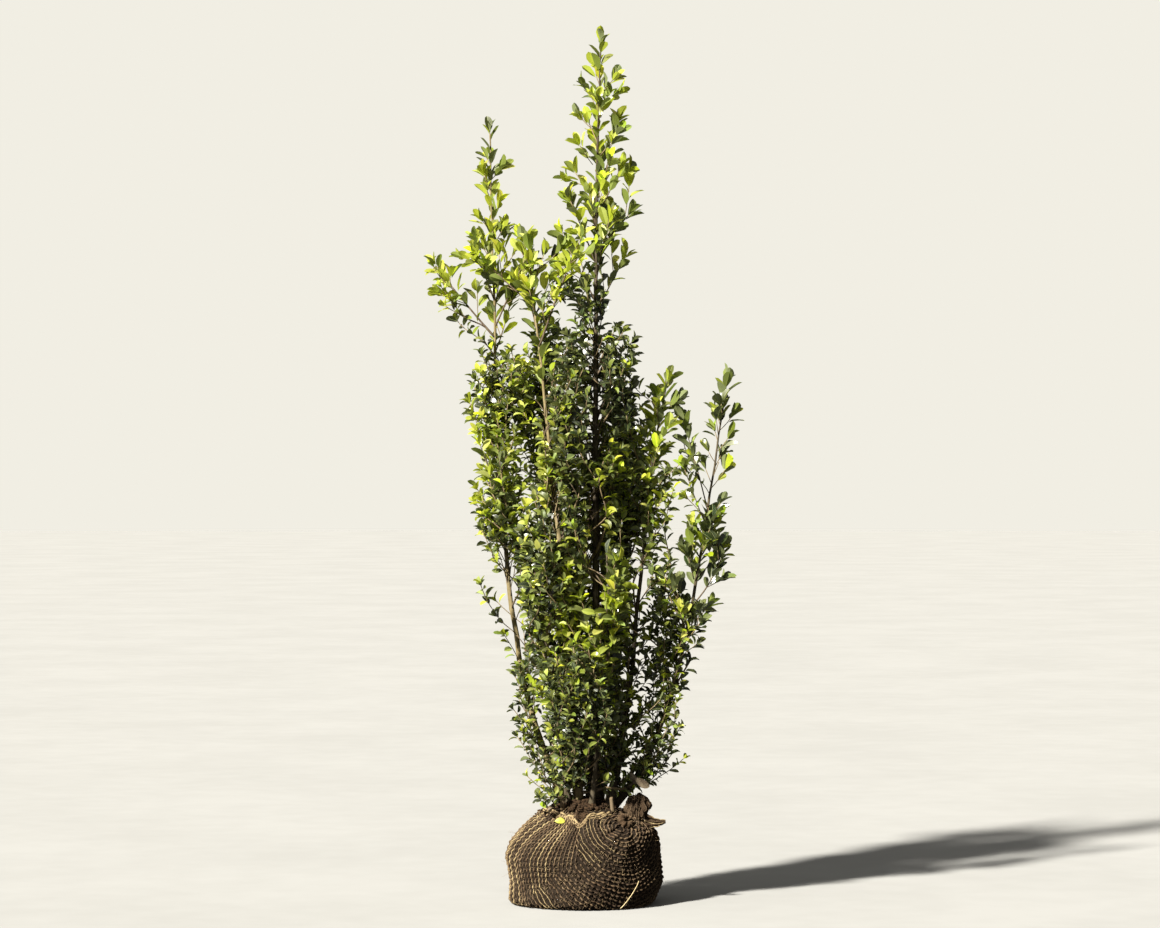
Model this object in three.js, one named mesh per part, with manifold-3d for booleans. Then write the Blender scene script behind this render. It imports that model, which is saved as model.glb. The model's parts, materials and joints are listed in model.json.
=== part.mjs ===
// A young holly shrub on its root ball: a clump of upright stems that rise from one hessian-wrapped ball
// of soil, carry tall narrow spires of foliage at three heights, and keep leaves down to the cloth.
// Millimetres, +Z up, -Y to the front. The origin is the middle of the ball's flat underside.

import * as THREE from "three";
import { mergeVertices } from "three/addons/utils/BufferGeometryUtils.js";
import Module from "manifold-3d";

const wasm = await Module();
wasm.setup();

// ---------------------------------------------------------------- driving dimensions
const GAP = 0.4; // clearance between neighbouring solids
const BALL_WIDTH = 360; // hessian ball, at its fullest
const BALL_HEIGHT = 222; // up to the flat that the stems stand on
const FOOT_WIDTH = 322; // flat underside
const NECK_WIDTH = 172; // flat top, where the cloth is gathered
const BALL_DEPTH_SHARE = 0.94; // front to back, against side to side
const BALL_SWAY = 7; // the belly bulges west high up and east low down, by this much
const SOIL_RISE = 20; // heaped soil inside the neck
const SOIL_TOP_SHARE = 0.72; // the heap's top, against its foot
const STEM_SINK = 8; // how far a stem's path starts below its flat cut

const CUT_HEIGHT = BALL_HEIGHT + GAP; // the flat cut at the foot of every stem
const TIP_WIDTH = 3.4;
const ROOT_FLARE = 0.5; // how much wider a stem is at its very foot
const FLARE_DECAY = 22; // how fast that flare dies away along the stem
const TAPER_POWER = 0.8; // under 1, a stem loses its width early

const BALL_SIDES = 24;
const STEM_SIDES = 6;
const STEM_STEPS = 7;
const MASS_SIDES = 7;
const MASS_RINGS = 6;
const SOIL_SIDES = 10;

// Waves round a ball or a mass that keep it uneven: so many to a turn, wound by rise from foot to tip.
const BALL_WAVES = [
  { folds: 2, rise: 0, start: 0.6, size: 0.016 },
  { folds: 5, rise: 0, start: 1.9, size: 0.012 },
];
const MASS_WAVES = [
  { folds: 3, rise: 0, start: 1, size: 0.5 },
  { folds: 5, rise: -7, start: 2, size: 0.4 },
  { folds: 2, rise: 9, start: 3, size: 0.5 },
];

// ---------------------------------------------------------------- finishes
const finish = (hex, roughness) =>
  new THREE.MeshStandardMaterial({ color: hex, roughness, metalness: 0 });
const HESSIAN = finish(0x8a7350, 0.95);
const SOIL = finish(0x2c2119, 1.0);
const DARK_BARK = finish(0x3f362b, 0.85);
const GREEN_BARK = finish(0x80764c, 0.75);
const CUT_WOOD = finish(0xb08a58, 0.8);
const DEEP_LEAF = finish(0x23401a, 0.45);
const FRESH_LEAF = finish(0x86a81c, 0.5);

// ---------------------------------------------------------------- closed meshes and solids

// The geometry with only its shared corners kept, so that it is one closed surface.
function welded(geometry) {
  const bare = geometry.clone();
  bare.deleteAttribute("normal");
  bare.deleteAttribute("uv");
  return mergeVertices(bare, 1e-3);
}

// The same surface pushed out by GAP, for cutting a neighbour clear of it.
function swollen(geometry) {
  const grown = welded(geometry);
  grown.computeVertexNormals();
  const at = grown.attributes.position;
  const out = grown.attributes.normal;
  for (let i = 0; i < at.count; i++) {
    const push = new THREE.Vector3().fromBufferAttribute(out, i).multiplyScalar(GAP);
    const point = new THREE.Vector3().fromBufferAttribute(at, i).add(push);
    at.setXYZ(i, ...point);
  }
  return grown;
}

function solidOf(geometry) {
  const closed = welded(geometry);
  return new wasm.Manifold(
    new wasm.Mesh({
      numProp: 3,
      vertProperties: new Float32Array(closed.attributes.position.array),
      triVerts: new Uint32Array(closed.index.array),
    }),
  );
}

// The largest body of a solid, as a three.js geometry.
function geometryOf(solid) {
  const bodies = solid.decompose().sort((a, b) => b.volume() - a.volume());
  const mesh = bodies[0].getMesh();
  const geometry = new THREE.BufferGeometry();
  geometry.setAttribute("position", new THREE.BufferAttribute(new Float32Array(mesh.vertProperties), 3));
  geometry.setIndex(new THREE.BufferAttribute(new Uint32Array(mesh.triVerts), 1));
  return geometry;
}

const shrub = new THREE.Group();
const keepOuts = []; // swollen solids that later pieces are cut round

// Adds a piece to the shrub, cut clear of what is already there, with its own anchor as its position.
// Later pieces are cut round its keepOut: the piece itself pushed out, unless a plainer one is given.
function addPiece(name, geometry, material, anchor, keepOut = swollen(geometry)) {
  const cut = keepOuts.reduce((left, tool) => left.subtract(tool), solidOf(geometry));
  const shaped = geometryOf(cut).translate(-anchor.x, -anchor.y, -anchor.z);
  const mesh = new THREE.Mesh(shaped, material);
  mesh.name = name;
  mesh.position.copy(anchor);
  shrub.add(mesh);
  keepOuts.push(solidOf(keepOut));
}

// ---------------------------------------------------------------- shapes

// A frame square to a direction: side is as near +X as it can be, and back as near +Y.
function frameAcross(direction) {
  const side = new THREE.Vector3(1, 0, 0);
  side.addScaledVector(direction, -side.dot(direction)).normalize();
  const back = new THREE.Vector3().crossVectors(direction, side);
  return { side, back };
}

// The sum of some waves, at a turn round a shape and a share of the way along it.
function wavesAt(waves, turn, along, seed = 1) {
  let sum = 0;
  for (const { folds, rise, start, size } of waves) {
    sum += size * Math.sin(folds * turn + rise * along + start * seed);
  }
  return sum;
}

// A tapering limb: a cylinder bent along a curve, thickest at its flared foot.
function limbGeometry(curve, footWidth, tipWidth, flare = ROOT_FLARE, sides = STEM_SIDES) {
  const limb = new THREE.CylinderGeometry(1, 1, 1, sides, STEM_STEPS);
  const at = limb.attributes.position;
  for (let i = 0; i < at.count; i++) {
    const along = at.getY(i) + 0.5;
    const { side, back } = frameAcross(curve.getTangent(along));
    const width = THREE.MathUtils.lerp(footWidth, tipWidth, Math.pow(along, TAPER_POWER));
    const radius = (width / 2) * (1 + flare * Math.exp(-along * FLARE_DECAY));
    const point = curve.getPoint(along);
    point.addScaledVector(side, -at.getX(i) * radius);
    point.addScaledVector(back, at.getZ(i) * radius);
    at.setXYZ(i, point.x, point.y, point.z);
  }
  return limb;
}

// A mass of foliage or a lump of cloth: a sphere drawn out from foot to tip, fullest at its belly, with waves
// of lumps so that no two sides are alike. A lower blunt gives rounder ends.
function massGeometry({ foot, tip, girth, belly = 0.5, depth = 0.9, blunt = 0.55, lump = 0.1, seed }) {
  const axis = new THREE.LineCurve3(new THREE.Vector3(...foot), new THREE.Vector3(...tip));
  const { side, back } = frameAcross(axis.getTangent(0));
  const ball = new THREE.SphereGeometry(1, MASS_SIDES, MASS_RINGS);
  const at = ball.attributes.position;
  const skew = Math.log(0.5) / Math.log(belly);
  for (let i = 0; i < at.count; i++) {
    const along = THREE.MathUtils.clamp((at.getY(i) + 1) / 2, 0, 1);
    const turn = Math.atan2(at.getZ(i), at.getX(i));
    const shifted = Math.pow(along, skew);
    const full = Math.pow(Math.max(0, 4 * shifted * (1 - shifted)), blunt);
    const unevenness = wavesAt(MASS_WAVES, turn, along, seed);
    const radius = (girth / 2) * full * (1 + lump * unevenness);
    const point = axis.getPoint(along);
    point.addScaledVector(side, -Math.cos(turn) * radius);
    point.addScaledVector(back, Math.sin(turn) * radius * depth);
    at.setXYZ(i, point.x, point.y, point.z);
  }
  return ball;
}

// A square tube that holds a limb, for cutting soil and foliage clear of it with few faces.
function limbKeepOut(curve, footWidth, tipWidth) {
  const corner = (width) => width * Math.SQRT2 + 2 * GAP;
  return limbGeometry(curve, corner(footWidth), corner(tipWidth), ROOT_FLARE, 4);
}

// ---------------------------------------------------------------- root ball

// The ball's outline from the middle of its underside, round its belly, to the middle of its flat top.
function ballProfile() {
  const belly = BALL_WIDTH / 2;
  const foot = FOOT_WIDTH / 2;
  const neck = NECK_WIDTH / 2;
  const shares = [
    [0, 0],
    [foot, 0],
    [foot + 0.5 * (belly - foot), 0.05],
    [foot + 0.88 * (belly - foot), 0.24],
    [belly, 0.5],
    [belly - 0.08 * (belly - neck), 0.66],
    [belly - 0.21 * (belly - neck), 0.76],
    [belly - 0.5 * (belly - neck), 0.87],
    [belly - 0.8 * (belly - neck), 0.95],
    [neck, 1],
    [0, 1],
  ];
  return shares.map(([radius, height]) => new THREE.Vector2(radius, height * BALL_HEIGHT));
}

// The ball's sideways shift at a share of its height: nothing at its two flats, east below its belly and
// again at the shoulder, and west between them.
function ballSway(height) {
  const window = Math.sqrt(Math.sin(Math.PI * THREE.MathUtils.clamp(height, 0, 1)));
  return BALL_SWAY * window * Math.sin(2 * Math.PI * (1.92 * height - 0.27));
}

// The lathe turns about Y, so it is stood up on Z, then pressed out of round.
function ballGeometry() {
  const ball = new THREE.LatheGeometry(ballProfile(), BALL_SIDES).rotateX(Math.PI / 2);
  const at = ball.attributes.position;
  for (let i = 0; i < at.count; i++) {
    const turn = Math.atan2(at.getY(i), at.getX(i));
    const height = at.getZ(i) / BALL_HEIGHT;
    const swell = 1 + wavesAt(BALL_WAVES, turn, height);
    at.setX(i, at.getX(i) * swell + ballSway(height));
    at.setY(i, at.getY(i) * swell * BALL_DEPTH_SHARE);
  }
  return ball;
}

addPiece("root_ball", ballGeometry(), HESSIAN, new THREE.Vector3(0, 0, 0));

// ---------------------------------------------------------------- stems
// Each stem runs on one cubic curve: its foot on the ball, two handles that give its lean, and its tip.
const STEMS = [
  { name: "leader_stem", width: 27, foot: [22, 6], low: [36, 4, 800], high: [16, -6, 1400],
    tip: [39, 0, 1978] },
  { name: "west_inner_stem", width: 20, foot: [-12, -16], low: [-20, -22, 600], high: [-95, -20, 1150],
    tip: [-128, -8, 1520] },
  { name: "west_outer_stem", width: 19, foot: [-34, 14], low: [-205, 34, 470], high: [-200, 56, 1100],
    tip: [-218, 52, 1776] },
  { name: "west_low_stem", width: 13, foot: [-36, -34], low: [-48, -56, 520], high: [-112, -76, 760],
    tip: [-236, -62, 1050] },
  { name: "east_outer_stem", width: 17, foot: [60, 22], low: [218, -12, 330], high: [262, -46, 760],
    tip: [326, -40, 1196] },
  { name: "east_inner_stem", width: 18, foot: [54, -18], low: [132, -12, 480], high: [120, 12, 900],
    tip: [191, 22, 1200] },
  { name: "front_stem", width: 12, foot: [16, -48], low: [40, -96, 430], high: [66, -150, 640],
    tip: [52, -160, 806] },
  { name: "back_west_stem", width: 16, foot: [-8, 46], low: [-34, 112, 520], high: [-112, 156, 900],
    tip: [-92, 132, 1330] },
  { name: "back_east_stem", width: 15, foot: [34, 50], low: [92, 122, 480], high: [112, 172, 850],
    tip: [96, 146, 1170] },
];
const GREEN_STEMS = ["west_inner_stem", "west_outer_stem"];
for (const { name, width, foot, low, high, tip } of STEMS) {
  const curve = new THREE.CubicBezierCurve3(
    new THREE.Vector3(...foot, CUT_HEIGHT - STEM_SINK),
    new THREE.Vector3(...low),
    new THREE.Vector3(...high),
    new THREE.Vector3(...tip),
  );
  const anchor = new THREE.Vector3(...foot, CUT_HEIGHT);
  const bark = GREEN_STEMS.includes(name) ? GREEN_BARK : DARK_BARK;
  addPiece(name, limbGeometry(curve, width, TIP_WIDTH), bark, anchor, limbKeepOut(curve, width, TIP_WIDTH));
}

// A straight stump, a little narrower at its cut.
function stubGeometry(stump, width) {
  const length = stump.getLength();
  const stub = new THREE.CylinderGeometry(width * 0.43, width / 2, length, STEM_SIDES);
  const upright = new THREE.Vector3(0, 1, 0);
  const lean = stump.v2.clone().sub(stump.v1).normalize();
  stub.applyQuaternion(new THREE.Quaternion().setFromUnitVectors(upright, lean));
  const middle = stump.getPoint(0.5);
  return stub.translate(middle.x, middle.y, middle.z);
}

// Two stumps of stems that were pruned off at the neck.
const STUBS = [
  { name: "west_stub", foot: [-50, -62], height: 24, width: 12, lean: [2, -2] },
  { name: "east_stub", foot: [66, -58], height: 26, width: 11, lean: [-4, -3] },
];
for (const { name, foot, height, width, lean } of STUBS) {
  const stump = new THREE.LineCurve3(
    new THREE.Vector3(...foot, CUT_HEIGHT - STEM_SINK),
    new THREE.Vector3(foot[0] + lean[0], foot[1] + lean[1], CUT_HEIGHT + height),
  );
  const anchor = new THREE.Vector3(...foot, CUT_HEIGHT);
  addPiece(name, stubGeometry(stump, width), CUT_WOOD, anchor);
}

// ---------------------------------------------------------------- soil and gathered cloth

// A low heap of soil inside the neck, cut round the stems.
function soilGeometry() {
  const reach = NECK_WIDTH / 2 - 6;
  const heap = new THREE.CylinderGeometry(reach * SOIL_TOP_SHARE, reach, SOIL_RISE, SOIL_SIDES);
  heap.rotateX(Math.PI / 2).scale(1, BALL_DEPTH_SHARE, 1);
  return heap.translate(0, 0, CUT_HEIGHT + SOIL_RISE / 2);
}
addPiece("soil_heap", soilGeometry(), SOIL, new THREE.Vector3(0, 0, CUT_HEIGHT));

// Gathered corners of the hessian: the tall bunch on the east shoulder, the ear that sticks out below it,
// and the knot on the front shoulder.
const CLOTH_DEPTH_SHARE = 0.76;
const CLOTH = [
  { name: "cloth_bunch", foot: [102, -26, 186], tip: [138, -22, 252], girth: 60, seed: 2.1 },
  { name: "cloth_ear", foot: [134, -34, 202], tip: [188, -40, 186], girth: 30, blunt: 0.4, seed: 0.4 },
  { name: "cloth_knot", foot: [94, -74, 182], tip: [106, -96, 220], girth: 42, seed: 4.4 },
];
for (const lump of CLOTH) {
  const geometry = massGeometry({ ...lump, depth: CLOTH_DEPTH_SHARE });
  addPiece(lump.name, geometry, HESSIAN, new THREE.Vector3(...lump.foot));
}

// ---------------------------------------------------------------- foliage
// The spires come first and keep their whole shape; the masses below are cut back where they meet.
const MASSES = [
  // leader spire
  { name: "leader_tip", foot: [40, -2, 1700], tip: [39, 0, 1998], girth: 150, belly: 0.26, blunt: 0.62 },
  { name: "leader_crown", foot: [20, -4, 1290], tip: [50, 0, 1796], girth: 228, belly: 0.52 },
  // west spire and its side shoots
  { name: "west_tip", foot: [-216, 52, 1510], tip: [-218, 52, 1790], girth: 88, belly: 0.55, blunt: 0.4 },
  { name: "west_fan", foot: [-206, 46, 1262], tip: [-222, 50, 1600], girth: 214, belly: 0.45, depth: 0.8 },
  { name: "west_outlier", foot: [-250, 40, 1318], tip: [-357, 36, 1476], girth: 82, belly: 0.6 },
  // shoulders between the spires
  { name: "west_inner_top", foot: [-88, -14, 1270], tip: [-122, -8, 1542], girth: 164, belly: 0.42 },
  { name: "centre_shoulder", foot: [-14, -40, 1262], tip: [-34, -34, 1530], girth: 132, belly: 0.42 },
  // east side shoots
  { name: "east_tip", foot: [286, -38, 874], tip: [332, -40, 1214], girth: 88, belly: 0.6, blunt: 0.42 },
  { name: "east_twin_tip", foot: [244, -70, 800], tip: [240, -84, 1040], girth: 66, belly: 0.6 },
  { name: "east_inner_tip", foot: [164, 20, 960], tip: [194, 22, 1220], girth: 104, belly: 0.6, blunt: 0.5 },
  { name: "east_shoulder", foot: [136, 12, 740], tip: [190, 8, 1092], girth: 124, belly: 0.6 },
  { name: "east_fan", foot: [234, -34, 590], tip: [312, -44, 964], girth: 148 },
  // west flank
  { name: "west_flank_top", foot: [-186, 20, 990], tip: [-192, 24, 1320], girth: 186 },
  { name: "west_flank_middle", foot: [-144, -20, 716], tip: [-200, -34, 1072], girth: 194 },
  { name: "west_sprig", foot: [-176, -40, 618], tip: [-246, -58, 756], girth: 62, belly: 0.62 },
  { name: "west_flank_low", foot: [-88, -20, 452], tip: [-166, -20, 780], girth: 176 },
  // heart of the crown
  { name: "heart_crown", foot: [20, -10, 1056], tip: [36, -6, 1392], girth: 228 },
  { name: "heart_upper", foot: [6, -16, 770], tip: [-10, -14, 1160], girth: 262, belly: 0.52 },
  { name: "heart_middle", foot: [20, -14, 496], tip: [22, -14, 866], girth: 284 },
  { name: "heart_low", foot: [18, -6, 246], tip: [20, -12, 590], girth: 276, belly: 0.56 },
  // front
  { name: "front_shoots", foot: [40, -118, 570], tip: [50, -176, 832], girth: 150 },
  { name: "front_upper", foot: [-34, -90, 960], tip: [-30, -96, 1310], girth: 178, belly: 0.45 },
  { name: "front_middle", foot: [-60, -110, 600], tip: [-78, -130, 1010], girth: 196 },
  { name: "front_low", foot: [6, -96, 286], tip: [-24, -150, 640], girth: 206, belly: 0.55 },
  // back
  { name: "back_west_top", foot: [-90, 128, 900], tip: [-92, 134, 1380], girth: 176 },
  { name: "back_east_top", foot: [88, 132, 780], tip: [96, 148, 1226], girth: 172 },
  { name: "back_middle", foot: [10, 110, 520], tip: [-4, 160, 980], girth: 236 },
  { name: "back_low", foot: [18, 84, 276], tip: [10, 150, 600], girth: 216, belly: 0.55 },
  // skirts, down to the cloth
  { name: "east_low", foot: [160, -10, 400], tip: [200, -12, 850], girth: 166, belly: 0.42 },
  { name: "east_skirt", foot: [98, -8, 246], tip: [212, -10, 500], girth: 156 },
  { name: "east_sprig", foot: [168, 4, 300], tip: [250, 6, 360], girth: 56, belly: 0.6 },
  { name: "west_skirt", foot: [-62, -8, 270], tip: [-156, -14, 520], girth: 136 },
  { name: "west_foot", foot: [-52, -28, 236], tip: [-126, -34, 330], girth: 92, belly: 0.55 },
];
const FRESH_MASSES = [
  "leader_tip",
  "leader_crown",
  "west_tip",
  "west_fan",
  "west_outlier",
  "west_inner_top",
  "east_tip",
  "east_twin_tip",
  "front_shoots",
];
const SEED_STEP = 1.7; // between the unevenness of one mass and the next
for (const [index, mass] of MASSES.entries()) {
  const leaf = FRESH_MASSES.includes(mass.name) ? FRESH_LEAF : DEEP_LEAF;
  const geometry = massGeometry({ ...mass, seed: SEED_STEP * index });
  addPiece(mass.name, geometry, leaf, new THREE.Vector3(...mass.foot));
}

export default shrub;
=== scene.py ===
"""A young holly shrub on its hessian-wrapped root ball.

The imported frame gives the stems' lines, the masses' outlines and the ball's shape. The stems get bark,
each mass is filled by shoots that a seeded branching rule grows on from the stems, and the ball is wrapped
in threads. All lengths are in metres, +Z is up and the front faces -Y.
"""

import itertools
import json
import math
import random
import bpy
import numpy as np
from bpy.props import FloatProperty, FloatVectorProperty, IntProperty, PointerProperty
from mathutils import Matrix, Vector, noise
from mathutils.bvhtree import BVHTree

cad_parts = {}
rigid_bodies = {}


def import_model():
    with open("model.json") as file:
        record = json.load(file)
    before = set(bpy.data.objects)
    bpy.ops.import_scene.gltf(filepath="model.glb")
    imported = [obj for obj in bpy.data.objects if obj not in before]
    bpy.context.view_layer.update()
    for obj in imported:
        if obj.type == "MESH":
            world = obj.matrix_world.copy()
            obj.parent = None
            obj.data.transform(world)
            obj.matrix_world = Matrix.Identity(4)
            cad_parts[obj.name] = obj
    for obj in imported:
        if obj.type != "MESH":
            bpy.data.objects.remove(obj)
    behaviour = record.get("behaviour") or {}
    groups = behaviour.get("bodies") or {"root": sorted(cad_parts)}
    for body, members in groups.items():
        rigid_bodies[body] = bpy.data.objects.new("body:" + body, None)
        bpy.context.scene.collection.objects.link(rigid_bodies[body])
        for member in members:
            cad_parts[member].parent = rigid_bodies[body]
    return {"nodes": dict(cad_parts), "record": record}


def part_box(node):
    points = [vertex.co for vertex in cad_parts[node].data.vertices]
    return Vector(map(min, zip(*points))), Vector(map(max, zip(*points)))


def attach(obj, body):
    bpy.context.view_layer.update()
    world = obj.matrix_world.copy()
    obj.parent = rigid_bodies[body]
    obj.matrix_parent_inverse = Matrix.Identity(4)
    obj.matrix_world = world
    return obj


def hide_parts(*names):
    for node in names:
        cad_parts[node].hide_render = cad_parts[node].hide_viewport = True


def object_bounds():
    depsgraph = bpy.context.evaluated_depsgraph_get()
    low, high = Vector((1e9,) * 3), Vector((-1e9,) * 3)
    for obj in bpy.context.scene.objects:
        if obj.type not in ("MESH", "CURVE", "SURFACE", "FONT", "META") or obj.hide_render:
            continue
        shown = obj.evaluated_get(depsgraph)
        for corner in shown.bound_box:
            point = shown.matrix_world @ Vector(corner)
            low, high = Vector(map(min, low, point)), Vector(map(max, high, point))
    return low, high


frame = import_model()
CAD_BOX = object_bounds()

bl_info = {
    "name": "Holly sapling with root ball",
    "version": (1, 0, 0),
    "blender": (4, 5, 0),
    "location": "3D View > Sidebar > Sapling",
    "description": "Grows a holly on the limbs and masses of its frame, and wraps its root ball",
    "category": "Add Mesh",
}

GOLDEN_ANGLE = math.radians(137.5)
FULL_TURN = 2 * math.pi
UP = np.array([0.0, 0.0, 1.0])
BLACK = (0.0, 0.0, 0.0)
TINY = 1e-9  # keeps a division by a length of nothing from failing
UV_NAME = "OFBake"  # the leaf map: every leaf lies in one tile of it
TILES = 4  # leaf tiles along each side of that map
PIECE_LIMIT = 190_000  # triangles in one joined piece

SLOT_OF = {part["node"]: part["material_slot"] for part in frame["record"]["subparts"]}
STEM_NODES = [name for name in SLOT_OF if name.endswith("_stem")]
STUB_NODES = [name for name in SLOT_OF if name.endswith("_stub")]
MASS_NODES = [name for name, slot in SLOT_OF.items() if slot.endswith("_foliage")]


# ---------------------------------------------------------------- settings


def length(name, description, default, low=0.0, high=1.0):
    return FloatProperty(
        name=name, description=description, default=default, min=low, max=high, unit="LENGTH", precision=4
    )


def colour(name, description, default):
    return FloatVectorProperty(
        name=name, description=description, default=default, size=3, min=0, max=1, subtype="COLOR"
    )


class FoliageSettings(bpy.types.PropertyGroup):
    """Sizes, spacing and colours of twigs and leaves"""

    seed: IntProperty(name="Seed", description="Start of the branching rule's random draws", default=11)
    leaf_length: length("Leaf length", "Blade of a full-grown leaf, without its stalk", 0.0355)
    leaf_width: length("Leaf width", "A full-grown leaf across its middle", 0.0172)
    outer_spacing: length("Outer spacing", "Between shoot tips near the outside of the crown", 0.0292)
    inner_spacing: length("Inner spacing", "Between shoot tips deep in the crown", 0.050)
    open_spacing: length("Open spacing", "Between shoot tips in the loose outer sprays", 0.044)
    side_step: length("Side shoot step", "Between side shoots along an open spire", 0.0285)
    leaf_step: length("Leaf step", "Between one leaf and the next along a shoot", 0.0092)
    spire_step: length("Spire leaf step", "Between leaves along a stem's own open top", 0.0200)
    leafy_top: length("Leafy top", "How far down a stem's own top bears leaves", 0.42)
    twig_tip: length("Twig tip", "Radius of a shoot at its tip", 0.0009)
    deep: colour("Old leaf", "Upper face of an old leaf", (0.0112, 0.0215, 0.0045))
    middle: colour("Grown leaf", "Upper face of this year's grown leaf", (0.080, 0.108, 0.012))
    fresh: colour("Fresh leaf", "Upper face of a young leaf", (0.213, 0.286, 0.014))
    lime: colour("Lime leaf", "Upper face of a shoot tip's newest leaf", (0.458, 0.545, 0.019))
    underside: colour("Underside", "Lower face of an old leaf", (0.184, 0.215, 0.088))
    green_twig: colour("Green twig", "Bark of a leafy shoot", (0.210, 0.150, 0.075))
    brown_twig: colour("Brown twig", "Bark of an older twig", (0.110, 0.075, 0.048))


class StemSettings(bpy.types.PropertyGroup):
    """Bark of the stems"""

    ring_step: length("Ring step", "Between the rings of a stem's mesh", 0.007)
    sides: IntProperty(name="Sides", description="Corners round a stem's mesh", default=14, min=6)
    old_bark: colour("Old bark", "Bark of the dark stems", (0.052, 0.037, 0.023))
    young_bark: colour("Young bark", "Bark of the light stems", (0.215, 0.165, 0.075))
    cut_wood: colour("Cut wood", "Sawn face of a stump", (0.330, 0.215, 0.110))


class BallSettings(bpy.types.PropertyGroup):
    """Hessian, threads and soil of the root ball"""

    seed: IntProperty(name="Seed", description="Start of the cloth's random draws", default=5)
    yarn_pitch: length("Yarn pitch", "Between neighbouring yarns of the hessian", 0.0098)
    yarn_radius: length("Yarn radius", "Half the width of a yarn", 0.0021)
    net_pitch: length("Net pitch", "Between the fine threads that cross the yarns", 0.0066)
    straw: colour("Straw", "Lightest yarns", (0.365, 0.285, 0.138))
    jute: colour("Jute", "Most yarns", (0.140, 0.094, 0.050))
    damp_jute: colour("Damp jute", "Yarns darkened by soil", (0.050, 0.029, 0.016))
    soil: colour("Soil", "Damp soil", (0.013, 0.008, 0.005))
    fallen: colour("Fallen leaf", "The yellow leaf that lies on the ball", (0.400, 0.390, 0.012))
    dry: colour("Dry leaf", "Dead leaves caught at the neck", (0.120, 0.078, 0.050))


class StageSettings(bpy.types.PropertyGroup):
    """Floor, lights and camera"""

    floor: colour("Floor", "Plain pale floor", (0.291, 0.291, 0.282))
    backdrop: colour("Backdrop", "Plain pale backdrop, seen past the floor's far edge", (0.880, 0.855, 0.770))
    sun_strength: FloatProperty(name="Key light", description="Strength of the key light", default=14.0)
    sun_softness: FloatProperty(
        name="Key softness",
        description="Apparent size of the key light",
        default=math.radians(4),
        subtype="ANGLE",
    )
    panel_strength: FloatProperty(
        name="Panel", description="Strength of the soft light from the left", default=0.45
    )
    fill_strength: FloatProperty(name="Fill light", description="Strength of the even fill", default=0.15)
    camera_distance: length("Camera distance", "From the stems to the camera", 8.0, 1.0, 50.0)
    camera_height: length("Camera height", "Camera above the floor", 1.01, 0.0, 10.0)
    camera_lens: FloatProperty(
        name="Focal length", description="Of the camera, in millimetres", default=107.9
    )


# ---------------------------------------------------------------- joined meshes


class Pile:
    """Points, faces and leaf coordinates that are gathered up and made into one mesh."""

    def __init__(self):
        self.points = []
        self.corners = []
        self.sizes = []
        self.uvs = []
        self.count = 0

    def add(self, points, faces):
        """Adds points, and faces as rows of point numbers: one block, or a list of blocks of one size each."""
        points = np.asarray(points, dtype=np.float32).reshape(-1, 3)
        if not isinstance(faces, (list, tuple)):
            faces = [faces]
        for block in faces:
            block = np.asarray(block, dtype=np.int32)
            self.corners.append((block + self.count).ravel())
            self.sizes.append(np.full(len(block), block.shape[1], dtype=np.int32))
        self.points.append(points)
        self.count += len(points)

    def make(self, name, material, slot, nodes, body="root"):
        """The piece itself: it rides on the body and stands for the nodes. The slot is not used."""
        sizes = np.concatenate(self.sizes)
        corners = np.concatenate(self.corners)
        mesh = bpy.data.meshes.new(name)
        mesh.vertices.add(self.count)
        mesh.vertices.foreach_set("co", np.concatenate(self.points).ravel())
        mesh.loops.add(len(corners))
        mesh.loops.foreach_set("vertex_index", corners)
        mesh.polygons.add(len(sizes))
        mesh.polygons.foreach_set("loop_start", np.concatenate([[0], np.cumsum(sizes)[:-1]]).astype(np.int32))
        mesh.polygons.foreach_set("use_smooth", np.ones(len(sizes), dtype=bool))
        if self.uvs:
            layer = mesh.uv_layers.new(name=UV_NAME)
            layer.data.foreach_set("uv", np.concatenate(self.uvs).ravel())
        mesh.update(calc_edges=True)
        mesh.validate()
        return place(mesh, name, material, slot, nodes, body)


def place(mesh, name, material, slot, nodes, body="root"):
    """The mesh as an object of the scene, told to the frame."""
    piece = bpy.data.objects.new(name, mesh)
    bpy.context.scene.collection.objects.link(piece)
    mesh.materials.append(material)
    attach(piece, body)
    if nodes:
        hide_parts(*nodes)
    return piece


def unit(vectors):
    vectors = np.asarray(vectors, dtype=float)
    size = np.linalg.norm(vectors, axis=-1, keepdims=True)
    return vectors / np.maximum(size, TINY)


def sweep_frames(path):
    """Two cross directions along a path, turned as little as possible from point to point."""
    tangents = unit(np.gradient(path, axis=0))
    first = np.cross(tangents[0], [0.3, 1.0, 0.2])
    sides = [unit(first)]
    for tangent in tangents[1:]:
        side = sides[-1] - tangent * np.dot(sides[-1], tangent)
        sides.append(unit(side))
    sides = np.array(sides)
    return sides, np.cross(tangents, sides)


def ring_faces(rows, around):
    """Quads between rings of points, and fans about the two points after them that close the ends."""
    low = np.arange(around)
    high = (low + 1) % around
    start = np.arange(rows - 1)[:, None] * around
    quads = np.stack([start + low, start + high, start + around + high, start + around + low], axis=-1)
    last = (rows - 1) * around
    foot = np.full(around, rows * around)
    return [
        quads.reshape(-1, 4),
        np.stack([high, low, foot], axis=-1),
        np.stack([last + low, last + high, foot + 1], axis=-1),
    ]


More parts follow.
